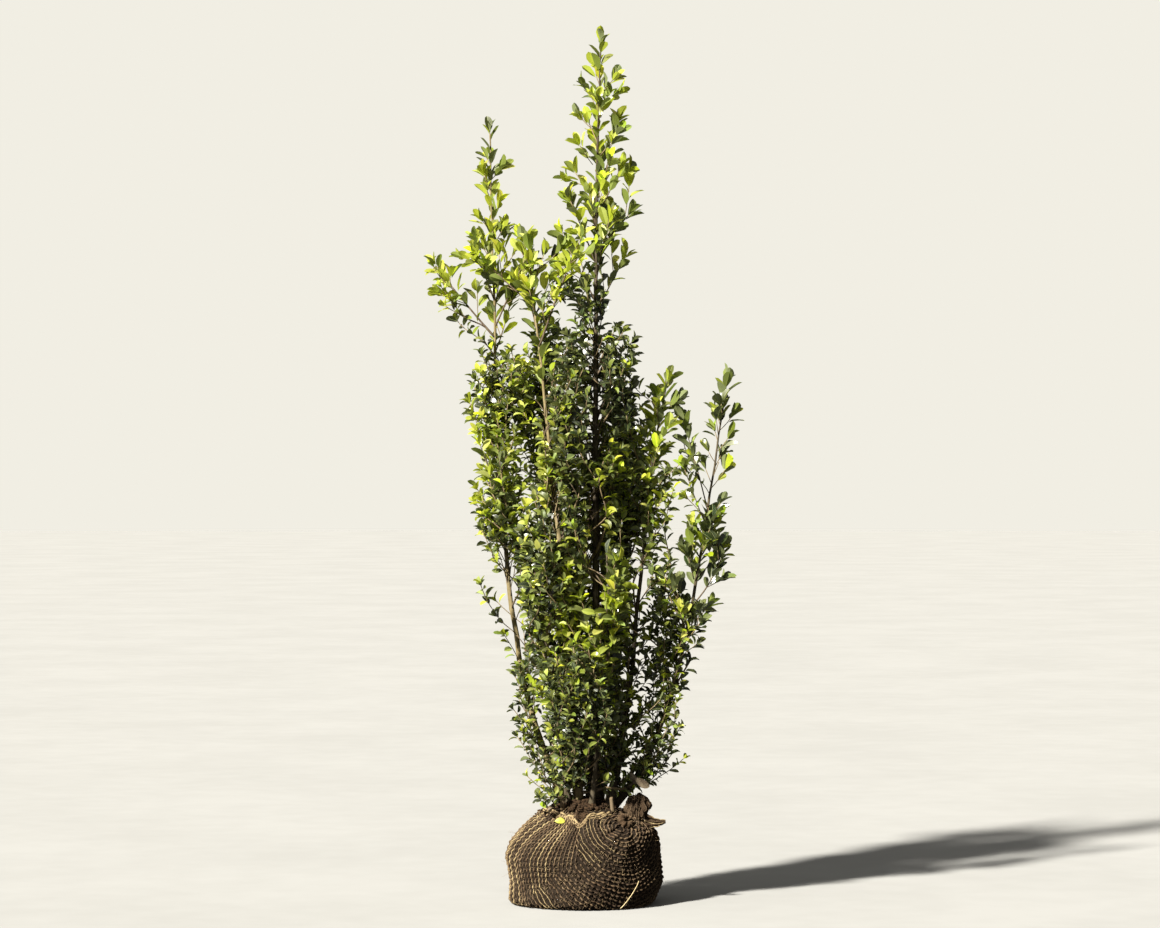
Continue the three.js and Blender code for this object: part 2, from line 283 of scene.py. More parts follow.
def tube(path, radii, sides):
    """Points and faces of a tube. radii are one for each point, or one for each corner of each ring."""
    path = np.asarray(path, dtype=float)
    side, other = sweep_frames(path)
    turn = np.arange(sides) * FULL_TURN / sides
    radii = np.asarray(radii, dtype=float)
    if radii.ndim == 1:
        radii = np.repeat(radii[:, None], sides, axis=1)
    ring = np.cos(turn)[None, :, None] * side[:, None, :] + np.sin(turn)[None, :, None] * other[:, None, :]
    points = (path[:, None, :] + radii[:, :, None] * ring).reshape(-1, 3)
    return np.vstack([points, path[0], path[-1]]), ring_faces(len(path), sides)


def smoothed(values, reach):
    """Rows evened out along the first axis, with the two ends held."""
    if reach < 1:
        return values
    window = np.hanning(2 * reach + 3)[1:-1]
    window /= window.sum()
    before = 2 * values[:1] - values[reach:0:-1]
    after = 2 * values[-1:] - values[-2 : -reach - 2 : -1]
    padded = np.concatenate([before, values, after])
    return np.stack([np.convolve(column, window, mode="valid") for column in padded.T], axis=1)


# ---------------------------------------------------------------- reading the frame


def box_of(node):
    """The lowest and highest corners of a node."""
    return [np.array(corner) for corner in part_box(node)]


def node_points(node):
    mesh = frame["nodes"][node].data
    points = np.empty(len(mesh.vertices) * 3, dtype=np.float32)
    mesh.vertices.foreach_get("co", points)
    return points.reshape(-1, 3).astype(float)


def node_tree(node):
    """A search tree over the surface of a node."""
    mesh = frame["nodes"][node].data
    points = [tuple(v.co) for v in mesh.vertices]
    return BVHTree.FromPolygons(points, [tuple(p.vertices) for p in mesh.polygons])


END_SLICE = 0.0005  # how far inside its ends a limb is first and last sliced


def limb_line(node, step):
    """The centre line and radius of an upright limb of the frame, from slices at rising heights."""
    points = node_points(node)
    mesh = frame["nodes"][node].data
    edges = np.array([tuple(edge.vertices) for edge in mesh.edges])
    low, high = points[edges[:, 0]], points[edges[:, 1]]
    bottom, top = points[:, 2].min(), points[:, 2].max()
    levels = np.linspace(bottom + END_SLICE, top - END_SLICE, max(8, int((top - bottom) / step)))
    centres, radii = [], []
    for level in levels:
        crossing = (low[:, 2] - level) * (high[:, 2] - level) < 0
        a, b = low[crossing], high[crossing]
        share = ((level - a[:, 2]) / (b[:, 2] - a[:, 2]))[:, None]
        cut = a + share * (b - a)
        centres.append((cut.min(axis=0) + cut.max(axis=0)) / 2)
        radii.append((cut.max(axis=0) - cut.min(axis=0))[:2].mean() / 2)
    reach = len(levels) // 12
    return smoothed(np.array(centres), reach), smoothed(np.array(radii)[:, None], reach // 3)[:, 0]


# ---------------------------------------------------------------- shader nodes


class Shader:
    """Adds nodes to a tree in one call each: settings by name, and values or links by socket."""

    def __init__(self, tree):
        self.tree = tree

    def add(self, kind, sockets=None, **settings):
        made = self.tree.nodes.new(kind)
        for key, value in settings.items():
            setattr(made, key, value)
        for key, value in (sockets or {}).items():
            self.fill(made.inputs[key], value)
        return made

    def fill(self, socket, value):
        """Links the socket to the value, or sets it to the value."""
        if isinstance(value, bpy.types.NodeSocket):
            self.tree.links.new(value, socket)
        elif socket.type == "RGBA" and len(value) == 3:
            socket.default_value = (*value, 1.0)
        else:
            socket.default_value = value

    def math(self, operation, a, b=0.0):
        return self.add("ShaderNodeMath", {0: a, 1: b}, operation=operation).outputs[0]

    def times(self, a, b):
        return self.math("MULTIPLY", a, b)

    def plus(self, a, b):
        return self.math("ADD", a, b)

    def minus(self, a, b):
        return self.math("SUBTRACT", a, b)

    def ridges(self, value):
        """Even ridges, one for each unit of the value: 0 between them and 1 on top."""
        return self.math("ABSOLUTE", self.math("SINE", self.times(value, math.pi)))

    def mix(self, share, a, b):
        """The colour a where share is 0, and b where it is 1."""
        sockets = {0: share, 6: a, 7: b}
        return self.add("ShaderNodeMix", sockets, data_type="RGBA", clamp_factor=True).outputs[2]

    def ramp(self, value, low, high):
        """value carried from the span low..high to 0..1"""
        sockets = {"Value": value, "From Min": low, "From Max": high}
        return self.add("ShaderNodeMapRange", sockets).outputs["Result"]

    def vector(self, operation, *operands, **named):
        """The first output of a vector operation on the numbered and named operands."""
        sockets = {**dict(enumerate(operands)), **named}
        return self.add("ShaderNodeVectorMath", sockets, operation=operation).outputs[0]

    def noise(self, where, scale, detail, output="Fac"):
        sockets = {"Vector": where, "Scale": scale, "Detail": detail}
        return self.add("ShaderNodeTexNoise", sockets).outputs[output]


def effect_group(name, inputs, outputs, build):
    """A shader node group with named inputs and outputs, built once."""
    tree = bpy.data.node_groups.new(name, "ShaderNodeTree")
    for label, kind, default in inputs:
        socket = tree.interface.new_socket(label, in_out="INPUT", socket_type=kind)
        if default is not None:
            socket.default_value = default
    for label, kind in outputs:
        tree.interface.new_socket(label, in_out="OUTPUT", socket_type=kind)
    shader = Shader(tree)
    start = tree.nodes.new("NodeGroupInput")
    end = tree.nodes.new("NodeGroupOutput")
    for label, value in build(shader, start.outputs).items():
        tree.links.new(value, end.inputs[label])
    return tree


FLOAT = "NodeSocketFloat"
COLOUR = "NodeSocketColor"
VECTOR = "NodeSocketVector"


def speckle_group():
    """Two sizes of soft noise: a mask for colour and a height for bumps."""

    def build(shader, given):
        broad = shader.noise(given["Vector"], given["Scale"], 5.0)
        fine = shader.noise(given["Vector"], shader.times(given["Scale"], 6.3), 3.0)
        blend = shader.plus(shader.times(broad, 0.65), shader.times(fine, 0.35))
        return {"Mask": shader.ramp(blend, given["Low"], given["High"]), "Height": blend}

    inputs = [("Vector", VECTOR, None), ("Scale", FLOAT, 60.0), ("Low", FLOAT, 0.38), ("High", FLOAT, 0.62)]
    return effect_group("speckle", inputs, [("Mask", FLOAT), ("Height", FLOAT)], build)


def weave_group():
    """A plain weave of coarse yarn: height of the yarns, and a mask of the holes between them."""

    def build(shader, given):
        scaled = shader.vector("SCALE", given["Vector"], Scale=given["Yarns"])
        bent = shader.vector("ADD", scaled, shader.noise(scaled, 0.22, 2.0, "Color"))
        x, y, z = shader.add("ShaderNodeSeparateXYZ", {0: bent}).outputs
        warp = shader.ridges(shader.plus(x, shader.times(y, 0.7)))
        height = shader.math("MAXIMUM", warp, shader.ridges(z))
        holes = shader.minus(1.0, shader.ramp(height, 0.45, 0.80))
        return {"Height": height, "Holes": holes}

    inputs = [("Vector", VECTOR, None), ("Yarns", FLOAT, 400.0)]
    return effect_group("hessian weave", inputs, [("Height", FLOAT), ("Holes", FLOAT)], build)


def leaf_group():
    """Midrib, side veins and a shade of its own for the leaf in each tile of the leaf map."""

    def build(shader, given):
        tiled = shader.vector("SCALE", given["Map"], Scale=float(TILES))
        tile = shader.vector("FLOOR", tiled)
        chance = shader.add("ShaderNodeTexWhiteNoise", {"Vector": tile}, noise_dimensions="3D")
        across, along, _ = shader.add("ShaderNodeSeparateXYZ", {0: shader.vector("FRACTION", tiled)}).outputs
        off = shader.math("ABSOLUTE", shader.minus(across, 0.5))
        rib = shader.minus(1.0, shader.ramp(off, 0.008, 0.034))
        wave = shader.ridges(shader.minus(shader.times(along, 9.0), shader.times(off, 7.0)))
        vein = shader.times(shader.minus(1.0, shader.ramp(wave, 0.03, 0.22)), 0.45)
        lines = shader.math("MAXIMUM", rib, vein)
        blotch = shader.noise(given["Map"], 38.0, 3.0)
        margin = shader.ramp(off, 0.22, 0.46)
        draws = shader.add("ShaderNodeSeparateColor", {"Color": chance.outputs["Color"]}).outputs

        def between(draw, low, high):
            sockets = {"Value": draw, "To Min": low, "To Max": high}
            return shader.add("ShaderNodeMapRange", sockets).outputs["Result"]

        light = shader.add(
            "ShaderNodeHueSaturation",
            {
                "Color": given["Colour"],
                "Hue": between(draws[0], 0.452, 0.514),
                "Saturation": between(draws[1], 0.72, 1.04),
                "Value": between(draws[2], 0.55, 1.45),
            },
        ).outputs["Color"]
        shaded = shader.mix(shader.times(blotch, 0.45), light, given["Shade"])
        edged = shader.mix(shader.times(margin, 0.25), shaded, given["Vein"])
        veined = shader.mix(shader.times(lines, 0.55), edged, given["Vein"])
        swell = shader.minus(shader.times(blotch, 0.35), lines)
        return {"Colour": veined, "Height": swell}

    inputs = [
        ("Map", VECTOR, None),
        ("Colour", COLOUR, (0.1, 0.2, 0.02, 1.0)),
        ("Shade", COLOUR, (0.05, 0.1, 0.02, 1.0)),
        ("Vein", COLOUR, (0.3, 0.35, 0.1, 1.0)),
    ]
    return effect_group("leaf face", inputs, [("Colour", COLOUR), ("Height", FLOAT)], build)


GROUP_MAKERS = {"speckle": speckle_group, "hessian weave": weave_group, "leaf face": leaf_group}
GROUPS = {}


def effect(shader, name, **sockets):
    """The outputs of a shared effect, whose group is made when it is first asked for."""
    if name not in GROUPS:
        GROUPS[name] = GROUP_MAKERS[name]()
    return shader.add("ShaderNodeGroup", sockets, node_tree=GROUPS[name]).outputs


def new_material(name, roughness=None, specular=None):
    material = bpy.data.materials.new(name)
    material.use_nodes = True
    tree = material.node_tree
    surface = tree.nodes["Principled BSDF"]
    for label, value in (("Roughness", roughness), ("Specular IOR Level", specular)):
        if value is not None:
            surface.inputs[label].default_value = value
    shader = Shader(tree)
    where = shader.add("ShaderNodeTexCoord").outputs["Object"]
    return material, shader, surface, where


def stretched(shader, where, across, upright):
    """Places for a pattern. A factor under 1 draws the pattern out that way."""
    sockets = {"Vector": where, "Scale": (across, across, upright)}
    return shader.add("ShaderNodeMapping", sockets).outputs["Vector"]


def bump(shader, surface, height, strength, distance):
    made = shader.add("ShaderNodeBump", {"Height": height, "Strength": strength, "Distance": distance})
    shader.tree.links.new(made.outputs["Normal"], surface.inputs["Normal"])


def mixed(a, b, share):
    return tuple(x + (y - x) * share for x, y in zip(a, b))


def leaf_material(name, top, underside, roughness, coat, glow):
    """A leaf: glossy above, paler and duller below, with some of the light let through."""
    material, shader, surface, _ = new_material(name, specular=0.3)
    uv = shader.add("ShaderNodeUVMap", uv_map=UV_NAME).outputs["UV"]
    shade, vein = mixed(top, BLACK, 0.45), mixed(top, (0.75, 0.8, 0.3), 0.35)
    face = effect(shader, "leaf face", Map=uv, Colour=top, Shade=shade, Vein=vein)
    behind = shader.add("ShaderNodeNewGeometry").outputs["Backfacing"]
    colours = shader.mix(behind, face["Colour"], shader.mix(0.25, underside, face["Colour"]))
    links = shader.tree.links
    links.new(colours, surface.inputs["Base Color"])
    matt = shader.plus(shader.times(behind, 0.22), roughness)
    links.new(matt, surface.inputs["Roughness"])
    surface.inputs["Coat Weight"].default_value = coat
    surface.inputs["Coat Roughness"].default_value = 0.18
    bump(shader, surface, face["Height"], 0.35, 0.0006)
    through = shader.add("ShaderNodeBsdfTranslucent", {"Color": colours})
    both = shader.add("ShaderNodeMixShader", {0: glow})
    links.new(surface.outputs["BSDF"], both.inputs[1])
    links.new(through.outputs["BSDF"], both.inputs[2])
    links.new(both.outputs["Shader"], shader.tree.nodes["Material Output"].inputs["Surface"])
    return material


def bark_material(name, base, roughness=0.62):
    """Smooth bark: pale flecks across it, long streaks along it and a mossy cast in patches."""
    material, shader, surface, where = new_material(name, specular=0.12)
    streak = effect(shader, "speckle", Vector=stretched(shader, where, 1.0, 0.12), Scale=210.0)
    flattened = stretched(shader, where, 0.55, 2.2)
    fleck = effect(shader, "speckle", Vector=flattened, Scale=330.0, Low=0.60, High=0.68)
    patch = effect(shader, "speckle", Vector=where, Scale=16.0)
    dark = shader.mix(streak["Mask"], mixed(base, BLACK, 0.45), mixed(base, (1, 0.95, 0.8), 0.05))
    mossy = shader.mix(shader.times(patch["Mask"], 0.45), dark, mixed(base, (0.10, 0.085, 0.03), 0.5))
    flecked = shader.mix(shader.times(fleck["Mask"], 0.5), mossy, mixed(base, (0.42, 0.32, 0.19), 0.30))
    shader.tree.links.new(flecked, surface.inputs["Base Color"])
    rough = shader.plus(shader.times(streak["Mask"], 0.2), roughness)
    shader.tree.links.new(rough, surface.inputs["Roughness"])
    height = shader.plus(streak["Height"], shader.times(fleck["Mask"], 0.5))
    bump(shader, surface, height, 0.6, 0.0012)
    return material


def cut_wood_material(name, base):
    """Sawn wood with growth rings about the origin, weathered grey in places."""
    material, shader, surface, where = new_material(name, 0.8)
    sockets = {"Vector": where, "Scale": 190.0, "Distortion": 3.5, "Detail": 2.0}
    rings = shader.add("ShaderNodeTexWave", sockets, wave_type="RINGS").outputs["Fac"]
    grime = effect(shader, "speckle", Vector=where, Scale=90.0)
    ringed = shader.mix(shader.times(rings, 0.5), base, mixed(base, (0.2, 0.1, 0.03), 0.6))
    dirty = shader.mix(shader.times(grime["Mask"], 0.5), ringed, mixed(base, (0.12, 0.09, 0.06), 0.7))
    shader.tree.links.new(dirty, surface.inputs["Base Color"])
    bump(shader, surface, grime["Height"], 0.5, 0.001)
    return material


def thread_material(name, base, dark):
    """Twisted jute yarn: fine fibre flecks, patches stained with soil, and lighter worn fibres."""
    material, shader, surface, where = new_material(name, 0.9, 0.15)
    fibre = effect(shader, "speckle", Vector=where, Scale=520.0, Low=0.40, High=0.62)
    stain = effect(shader, "speckle", Vector=where, Scale=34.0, Low=0.42, High=0.60)
    fine = shader.mix(fibre["Mask"], mixed(base, dark, 0.85), mixed(base, (1, 0.8, 0.5), 0.07))
    stained = shader.mix(shader.times(stain["Mask"], 0.85), fine, dark)
    shader.tree.links.new(stained, surface.inputs["Base Color"])
    bump(shader, surface, fibre["Height"], 0.8, 0.0012)
    return material


def hessian_material(name, base, dark, soil, yarns):
    """Woven hessian with soil showing through its holes, on the ball darkened further as painted shade."""
    material, shader, surface, where = new_material(name, 0.95, 0.1)
    weave = effect(shader, "hessian weave", Vector=where, Yarns=yarns)
    stain = effect(shader, "speckle", Vector=where, Scale=24.0, Low=0.40, High=0.62)
    fuzz = effect(shader, "speckle", Vector=where, Scale=420.0)
    yarn = shader.mix(fuzz["Mask"], mixed(base, dark, 0.8), mixed(base, (1, 0.9, 0.65), 0.02))
    stained = shader.mix(shader.times(stain["Mask"], 0.75), yarn, dark)
    holed = shader.mix(shader.times(weave["Holes"], 0.9), stained, soil)
    shader.tree.links.new(holed, surface.inputs["Base Color"])
    height = shader.plus(weave["Height"], shader.times(fuzz["Height"], 0.7))
    bump(shader, surface, height, 0.9, 0.0016)
    return material


def soil_material(name, base):
    """Damp soil: crumbs of several browns, with a few bright specks of grit and root."""
    material, shader, surface, where = new_material(name, 0.92, 0.1)
    crumb = effect(shader, "speckle", Vector=where, Scale=150.0, Low=0.36, High=0.66)
    grit = effect(shader, "speckle", Vector=where, Scale=480.0, Low=0.63, High=0.70)
    brown = shader.mix(crumb["Mask"], mixed(base, BLACK, 0.4), mixed(base, (0.12, 0.07, 0.035), 0.5))
    gritty = shader.mix(shader.times(grit["Mask"], 0.6), brown, (0.30, 0.22, 0.13))
    shader.tree.links.new(gritty, surface.inputs["Base Color"])
    bump(shader, surface, crumb["Height"], 1.0, 0.004)
    return material


def stage_material(name, base):
    material, shader, surface, where = new_material(name, 0.9, 0.0)
    mottle = effect(shader, "speckle", Vector=where, Scale=1.5)
    mottled = shader.mix(mottle["Mask"], base, mixed(base, (1, 1, 1), 0.03))
    shader.tree.links.new(mottled, surface.inputs["Base Color"])
    return material


# ---------------------------------------------------------------- stems


class Skeleton:
    """Every limb and twig as points with a parent, for branching and for thickening from the tips down."""

    def __init__(self):
        self.at = []
        self.heading = []
        self.parent = []
        self.is_stem = []

    def extend(self, path, parent, is_stem):
        """Adds a path's points and gives their numbers."""
        headings = unit(np.gradient(np.asarray(path), axis=0))
        numbers = []
        for point, heading in zip(path, headings):
            self.at.append(np.asarray(point))
            self.heading.append(heading)
            self.parent.append(parent)
            self.is_stem.append(is_stem)
            parent = len(self.at) - 1
            numbers.append(parent)
        return numbers


JOINT_GAP = (0.05, 0.07)  # between a stem's old leaf joints, where it kinks
KINK = 0.0018  # how far a joint stands off the stem's line
STRAIGHT_FOOT = 0.06  # the kinks fade in over this much of the foot


def stem_path(node, step):
    """The stem's line with the slight kinks that it keeps at its old leaf joints."""
    line, radii = limb_line(node, step)
    chance = random.Random(node)
    joint = chance.uniform(*JOINT_GAP)
    travel = np.concatenate([[0], np.cumsum(np.linalg.norm(np.diff(line, axis=0), axis=1))])
    kink = np.zeros((len(line), 3))
    for start in np.arange(joint, travel[-1], joint):
        lean = np.array([chance.uniform(-1, 1), chance.uniform(-1, 1), 0.0]) * KINK
        kink += lean[None, :] * np.clip(1 - np.abs(travel - start) / joint, 0, 1)[:, None]
    fade = np.clip(travel / STRAIGHT_FOOT, 0, 1)[:, None]
    return line + kink * fade, radii, travel


KNUCKLE_GAP = 0.064  # between the knuckles of a stem's bark
FOOT_FLARE = 0.018  # how fast the ribs of a stem's foot die away up it


def bark_radii(radii, travel, sides, seed):
    """Radius at every corner of every ring: shallow grooves, knuckles at old joints and a ribbed foot."""
    turn = np.arange(sides) * FULL_TURN / sides
    rings = []
    for radius, far in zip(radii, travel):
        knuckle = 0.10 * max(0.0, math.cos(far * FULL_TURN / KNUCKLE_GAP + seed)) ** 10
        foot = math.exp(-far / FOOT_FLARE)
        row = []
        for angle in turn:
            groove = noise.noise(Vector((math.cos(angle) * 2.2 + seed, math.sin(angle) * 2.2, far * 22.0)))
            pock = noise.noise(Vector((math.cos(angle) * 5.0, math.sin(angle) * 5.0 + seed, far * 95.0)))
            ribs = 0.16 * foot * math.sin(5 * angle + seed)
            row.append(radius * (1 + 0.09 * groove + 0.05 * pock + knuckle + ribs))
        rings.append(row)
    return np.array(rings)


def build_stems(settings):
    barks = {
        "old_bark": bark_material("old bark", tuple(settings.old_bark)),
        "young_bark": bark_material("young bark", tuple(settings.young_bark), 0.5),
    }
    for number, node in enumerate(STEM_NODES):
        path, radii, travel = stem_path(node, settings.ring_step)
        rings = bark_radii(radii, travel, settings.sides, number * 1.9)
        pile = Pile()
        pile.add(*tube(path, rings, settings.sides))
        pile.make(node + "_bark", barks[SLOT_OF[node]], SLOT_OF[node], [node])


def build_stubs(settings):
    """Pruned stumps: bark round the side, and sawn wood that stands a hair proud of it."""
    wood = cut_wood_material("cut wood", tuple(settings.cut_wood))
    bark = bark_material("stump bark", mixed(settings.old_bark, settings.cut_wood, 0.25))
    for number, node in enumerate(STUB_NODES):
        path, radii, travel = stem_path(node, 0.0022)
        rings = bark_radii(radii, travel, settings.sides, 7 + number)
        side, face = Pile(), Pile()
        side.add(*tube(path, rings, settings.sides))
        side.make(node + "_sawn", bark, SLOT_OF[node], [node])
        proud = np.array([0, 0, 0.0009])
        core = np.vstack([path[-3:] + proud * 0.4, path[-1] + proud])
        face.add(*tube(core, np.vstack([rings[-3:] * 0.86, rings[-1] * 0.80]), settings.sides))
        face.make(node + "_face", wood, SLOT_OF[node], [])


# ---------------------------------------------------------------- growth


WIDEST = 0.4  # no mass is wider than this
WIDEST_GAP = 0.016  # a gap between masses or round a stem that doesn't count as outside
SKIP = 0.0003  # how far past a face the next look begins


class Crown:
    """The masses of the frame, for asking whether a point is in the crown and how deep."""

    def __init__(self):
        self.trees = {node: node_tree(node) for node in MASS_NODES}
        self.boxes = {node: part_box(node) for node in MASS_NODES}
        points, faces = [], []
        for node in MASS_NODES:
            mesh = frame["nodes"][node].data
            start = len(points)
            points += [tuple(v.co) for v in mesh.vertices]
            faces += [tuple(start + i for i in p.vertices) for p in mesh.polygons]
        self.all = BVHTree.FromPolygons(points, faces)
        ring = [(math.cos(a), math.sin(a), 0.0) for a in np.arange(8) * FULL_TURN / 8]
        slant = [(0.75 * x, 0.75 * y, 0.66) for x, y, _ in ring[::2]]
        self.looks = [Vector(d) for d in ring + slant + [(0, 0, 1.0)]]

    def below_skin(self, node, point):
        """How far inside a mass's own surface a point lies, or a negative distance outside it."""
        found, normal, _, far = self.trees[node].find_nearest(Vector(point))
        inside = (Vector(point) - found).dot(normal) < 0
        return far if inside else -far

    def way_out(self, point, look, inside=True):
        """How far the crown goes on from a point. Narrow gaps between its masses don't end it."""
        reach, start, look = 0.0, Vector(point), Vector(look)
        for _ in range(14):
            hit, _, _, far = self.all.ray_cast(start, look, WIDEST if inside else WIDEST_GAP)
            if hit is None:
                break
            reach += far + SKIP
            start = hit + look * SKIP
            inside = not inside
        return reach

    def depth(self, point):
        """How far the point lies in the whole crown, and the shortest way out of it."""
        spans = [self.way_out(point, look) for look in self.looks]
        best = int(np.argmin(spans))
        return spans[best], np.array(self.looks[best])


# Stems with an open top, and the masses that their side shoots fill.
SPIRES = {
    "leader_stem": ("leader_crown", "leader_tip"),
    "west_outer_stem": ("west_fan", "west_tip"),
    "west_inner_stem": ("west_inner_top",),
    "east_outer_stem": ("east_fan", "east_tip"),
    "east_inner_stem": ("east_inner_tip",),
}
SPIRE_MASSES = {mass for masses in SPIRES.values() for mass in masses}
LOOSE_MASSES = {"west_outlier", "centre_shoulder", "east_twin_tip", "west_sprig", "east_sprig"}

SHOOT_REACH = 0.095  # a shoot likes to leave its limb this far back from its tip
SKIN, THIN_SKIN = 0.011, 0.007  # how far under a mass's surface the shoot tips stay
THIN_MASS = 0.085  # a mass thinner than this has the thin skin
TRIES = 200_000  # places tried in each cubic metre
OUTER_DEPTH, DEEP_BAND = 0.045, 0.06  # where shoots begin to stand wider apart, and over what depth


def scatter_buds(crown, settings, chance):
    """Shoot tips spread through the masses, closer together near the outside of the crown."""
    buds = []
    grid = {}
    cell = settings.inner_spacing

    def home_of(point):
        return tuple(int(math.floor(c / cell)) for c in point)

    def crowded(point, spacing):
        x, y, z = home_of(point)
        for dx, dy, dz in itertools.product((-1, 0, 1), repeat=3):
            for other in grid.get((x + dx, y + dy, z + dz), ()):
                if np.linalg.norm(other - point) < spacing:
                    return True
        return False

    for node in MASS_NODES:
        if node in SPIRE_MASSES:
            continue
        low, high = (np.array(corner) for corner in crown.boxes[node])
        room = float(np.prod(high - low))
        skin = THIN_SKIN if min(high - low) < THIN_MASS else SKIN
        for _ in range(int(room * TRIES) + 60):
            point = low + (high - low) * np.array([chance.random() for _ in range(3)])
            if crown.below_skin(node, point) < skin:
                continue
            depth, way_out = crown.depth(point)
            share = min(max((depth - OUTER_DEPTH) / DEEP_BAND, 0.0), 1.0)
            spacing = settings.outer_spacing + share * (settings.inner_spacing - settings.outer_spacing)
            if node in LOOSE_MASSES:
                spacing = settings.open_spacing
            if crowded(point, spacing):
                continue
            grid.setdefault(home_of(point), []).append(point)
            buds.append({"at": point, "depth": depth, "out": way_out, "mass": node})
    return buds


def grow(skeleton, buds, chance):
    """Joins each bud to the limb or twig below it that a rising shoot would come from."""
    stems = np.array(skeleton.at)
    near = [np.linalg.norm(stems - bud["at"], axis=1).min() for bud in buds]
    shoots = []
    for number in np.argsort(near, kind="stable"):
        bud = buds[number]
        tip = bud["at"]
        at = np.array(skeleton.at)
        heading = np.array(skeleton.heading)
        reach = tip - at
        far = np.linalg.norm(reach, axis=1)
        rise = reach[:, 2] / np.maximum(far, 1e-6)
        along = (reach * heading).sum(axis=1) / np.maximum(far, 1e-6)
        stretch = np.maximum(far, SHOOT_REACH + 1.4 * (SHOOT_REACH - far))
        cost = stretch * (1 + 2.4 * np.clip(0.60 - rise, 0, 2) + 1.2 * np.clip(0.45 - along, 0, 2))
        start = int(np.argmin(cost))
        span = float(far[start])
        outward = unit(tip - at[start])
        first = unit(0.55 * heading[start] + 0.9 * outward + 0.1 * bud["out"])
        last = unit(0.8 * outward + 0.45 * UP + 0.35 * bud["out"])
        a, b, c, d = at[start], at[start] + first * span * 0.36, tip - last * span * 0.34, tip
        steps = max(4, int(span / 0.014))
        t = np.linspace(0, 1, steps + 1)[:, None]
        path = a * (1 - t) ** 3 + 3 * b * t * (1 - t) ** 2 + 3 * c * t**2 * (1 - t) + d * t**3
        sway = np.array([chance.uniform(-1, 1) for _ in range(3)]) * 0.02 * span
        path = path + sway * np.sin(math.pi * t) * np.cos(2.5 * math.pi * t)
        numbers = skeleton.extend(path[1:], start, False)
        shoots.append({**bud, "path": path, "numbers": [start] + numbers})
    return shoots


# Short leafy shoots that hide the feet of the stems at the front, for each stem.
FOOT_SPRAYS = {
    "west_low_stem": 3,
    "west_outer_stem": 4,
    "west_inner_stem": 4,
    "front_stem": 3,
    "leader_stem": 4,
    "east_inner_stem": 3,
    "east_outer_stem": 2,
}
FOOT_HEIGHTS = (0.262, 0.335)  # where those shoots leave their stems
BARE_TIP = 0.065  # a spire's side shoots end this far below its tip
LEAF_ROOM = 0.020  # what a shoot leaves for the leaves at its tip
LONGEST_SHOOT, SHORTEST_SHOOT, SHORTEST_TWIG = 0.25, 0.016, 0.014


def side_shoots(skeleton, lines, numbers, crown, settings, chance):
    """Straight side shoots up an open spire, each at its own slant and as long as the crown is wide there."""
    shoots = []

    def shoot_from(start, way, span, mass):
        steps = max(3, int(span / 0.013))
        t = np.linspace(0, 1, steps + 1)[:, None]
        sway = np.array([chance.uniform(-1, 1) for _ in range(3)]) * 0.03 * span
        path = skeleton.at[start] + way * span * t + UP * 0.10 * span * t**2 + sway * np.sin(math.pi * t)
        chain = [start] + skeleton.extend(path[1:], start, False)
        depth, _ = crown.depth(path[-1])
        shoots.append({"at": path[-1], "depth": depth, "mass": mass, "path": path, "numbers": chain})
        return chain

    def joint_at(node, level):
        """The stem's own point that is nearest to a height."""
        heights = np.array([skeleton.at[k][2] for k in numbers[node]])
        return numbers[node][int(np.argmin(np.abs(heights - level)))]

    for node, masses in SPIRES.items():
        crest = lines[node][-1][2] - BARE_TIP
        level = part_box(masses[0])[0][2] + 0.25 * settings.side_step
        turn = chance.uniform(0, FULL_TURN)
        closeness = 0.66 if node.startswith("east") else 1.0
        while level < crest:
            start = joint_at(node, level)
            level += settings.side_step * chance.uniform(0.6, 1.35) * closeness
            turn += GOLDEN_ANGLE + chance.uniform(-0.4, 0.4)
            axis = unit(skeleton.heading[start] + 0.3 * UP)
            slant = chance.uniform(0.48, 0.82)
            side = unit(np.cross(axis, [0.1, 1.0, 0.1]))
            radial = side * math.cos(turn) + np.cross(axis, side) * math.sin(turn)
            way = unit(axis * math.cos(slant) + radial * math.sin(slant))
            room = crown.way_out(skeleton.at[start], way, inside=False) - LEAF_ROOM
            span = min(room * chance.uniform(0.80, 1.0), LONGEST_SHOOT)
            if span < SHORTEST_SHOOT:
                continue
            mass = masses[-1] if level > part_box(masses[-1])[0][2] else masses[0]
            chain = shoot_from(start, way, span, mass)
            along = 0.042
            while along < span - LEAF_ROOM:
                knee = chain[min(int(along / span * (len(chain) - 1)) + 1, len(chain) - 2)]
                spin = chance.uniform(0, FULL_TURN)
                cross = unit(np.cross(way, [0.2, 0.9, 0.3]))
                off = cross * math.cos(spin) + np.cross(way, cross) * math.sin(spin)
                twist = unit(way * 0.72 + off * 0.62 + UP * 0.15)
                room = crown.way_out(skeleton.at[knee], twist) - LEAF_ROOM
                reach = min(room, chance.uniform(0.03, 0.075))
                if reach > SHORTEST_TWIG:
                    shoot_from(knee, twist, reach, mass)
                along += chance.uniform(0.034, 0.062)
    for node, count in FOOT_SPRAYS.items():
        for _ in range(count):
            start = joint_at(node, chance.uniform(*FOOT_HEIGHTS))
            turn = chance.uniform(-1.3, 1.2)
            way = unit(np.array([math.sin(turn), -math.cos(turn), chance.uniform(0.10, 0.65)]))
            shoot_from(start, way, chance.uniform(0.030, 0.062), "front_low")
    return shoots


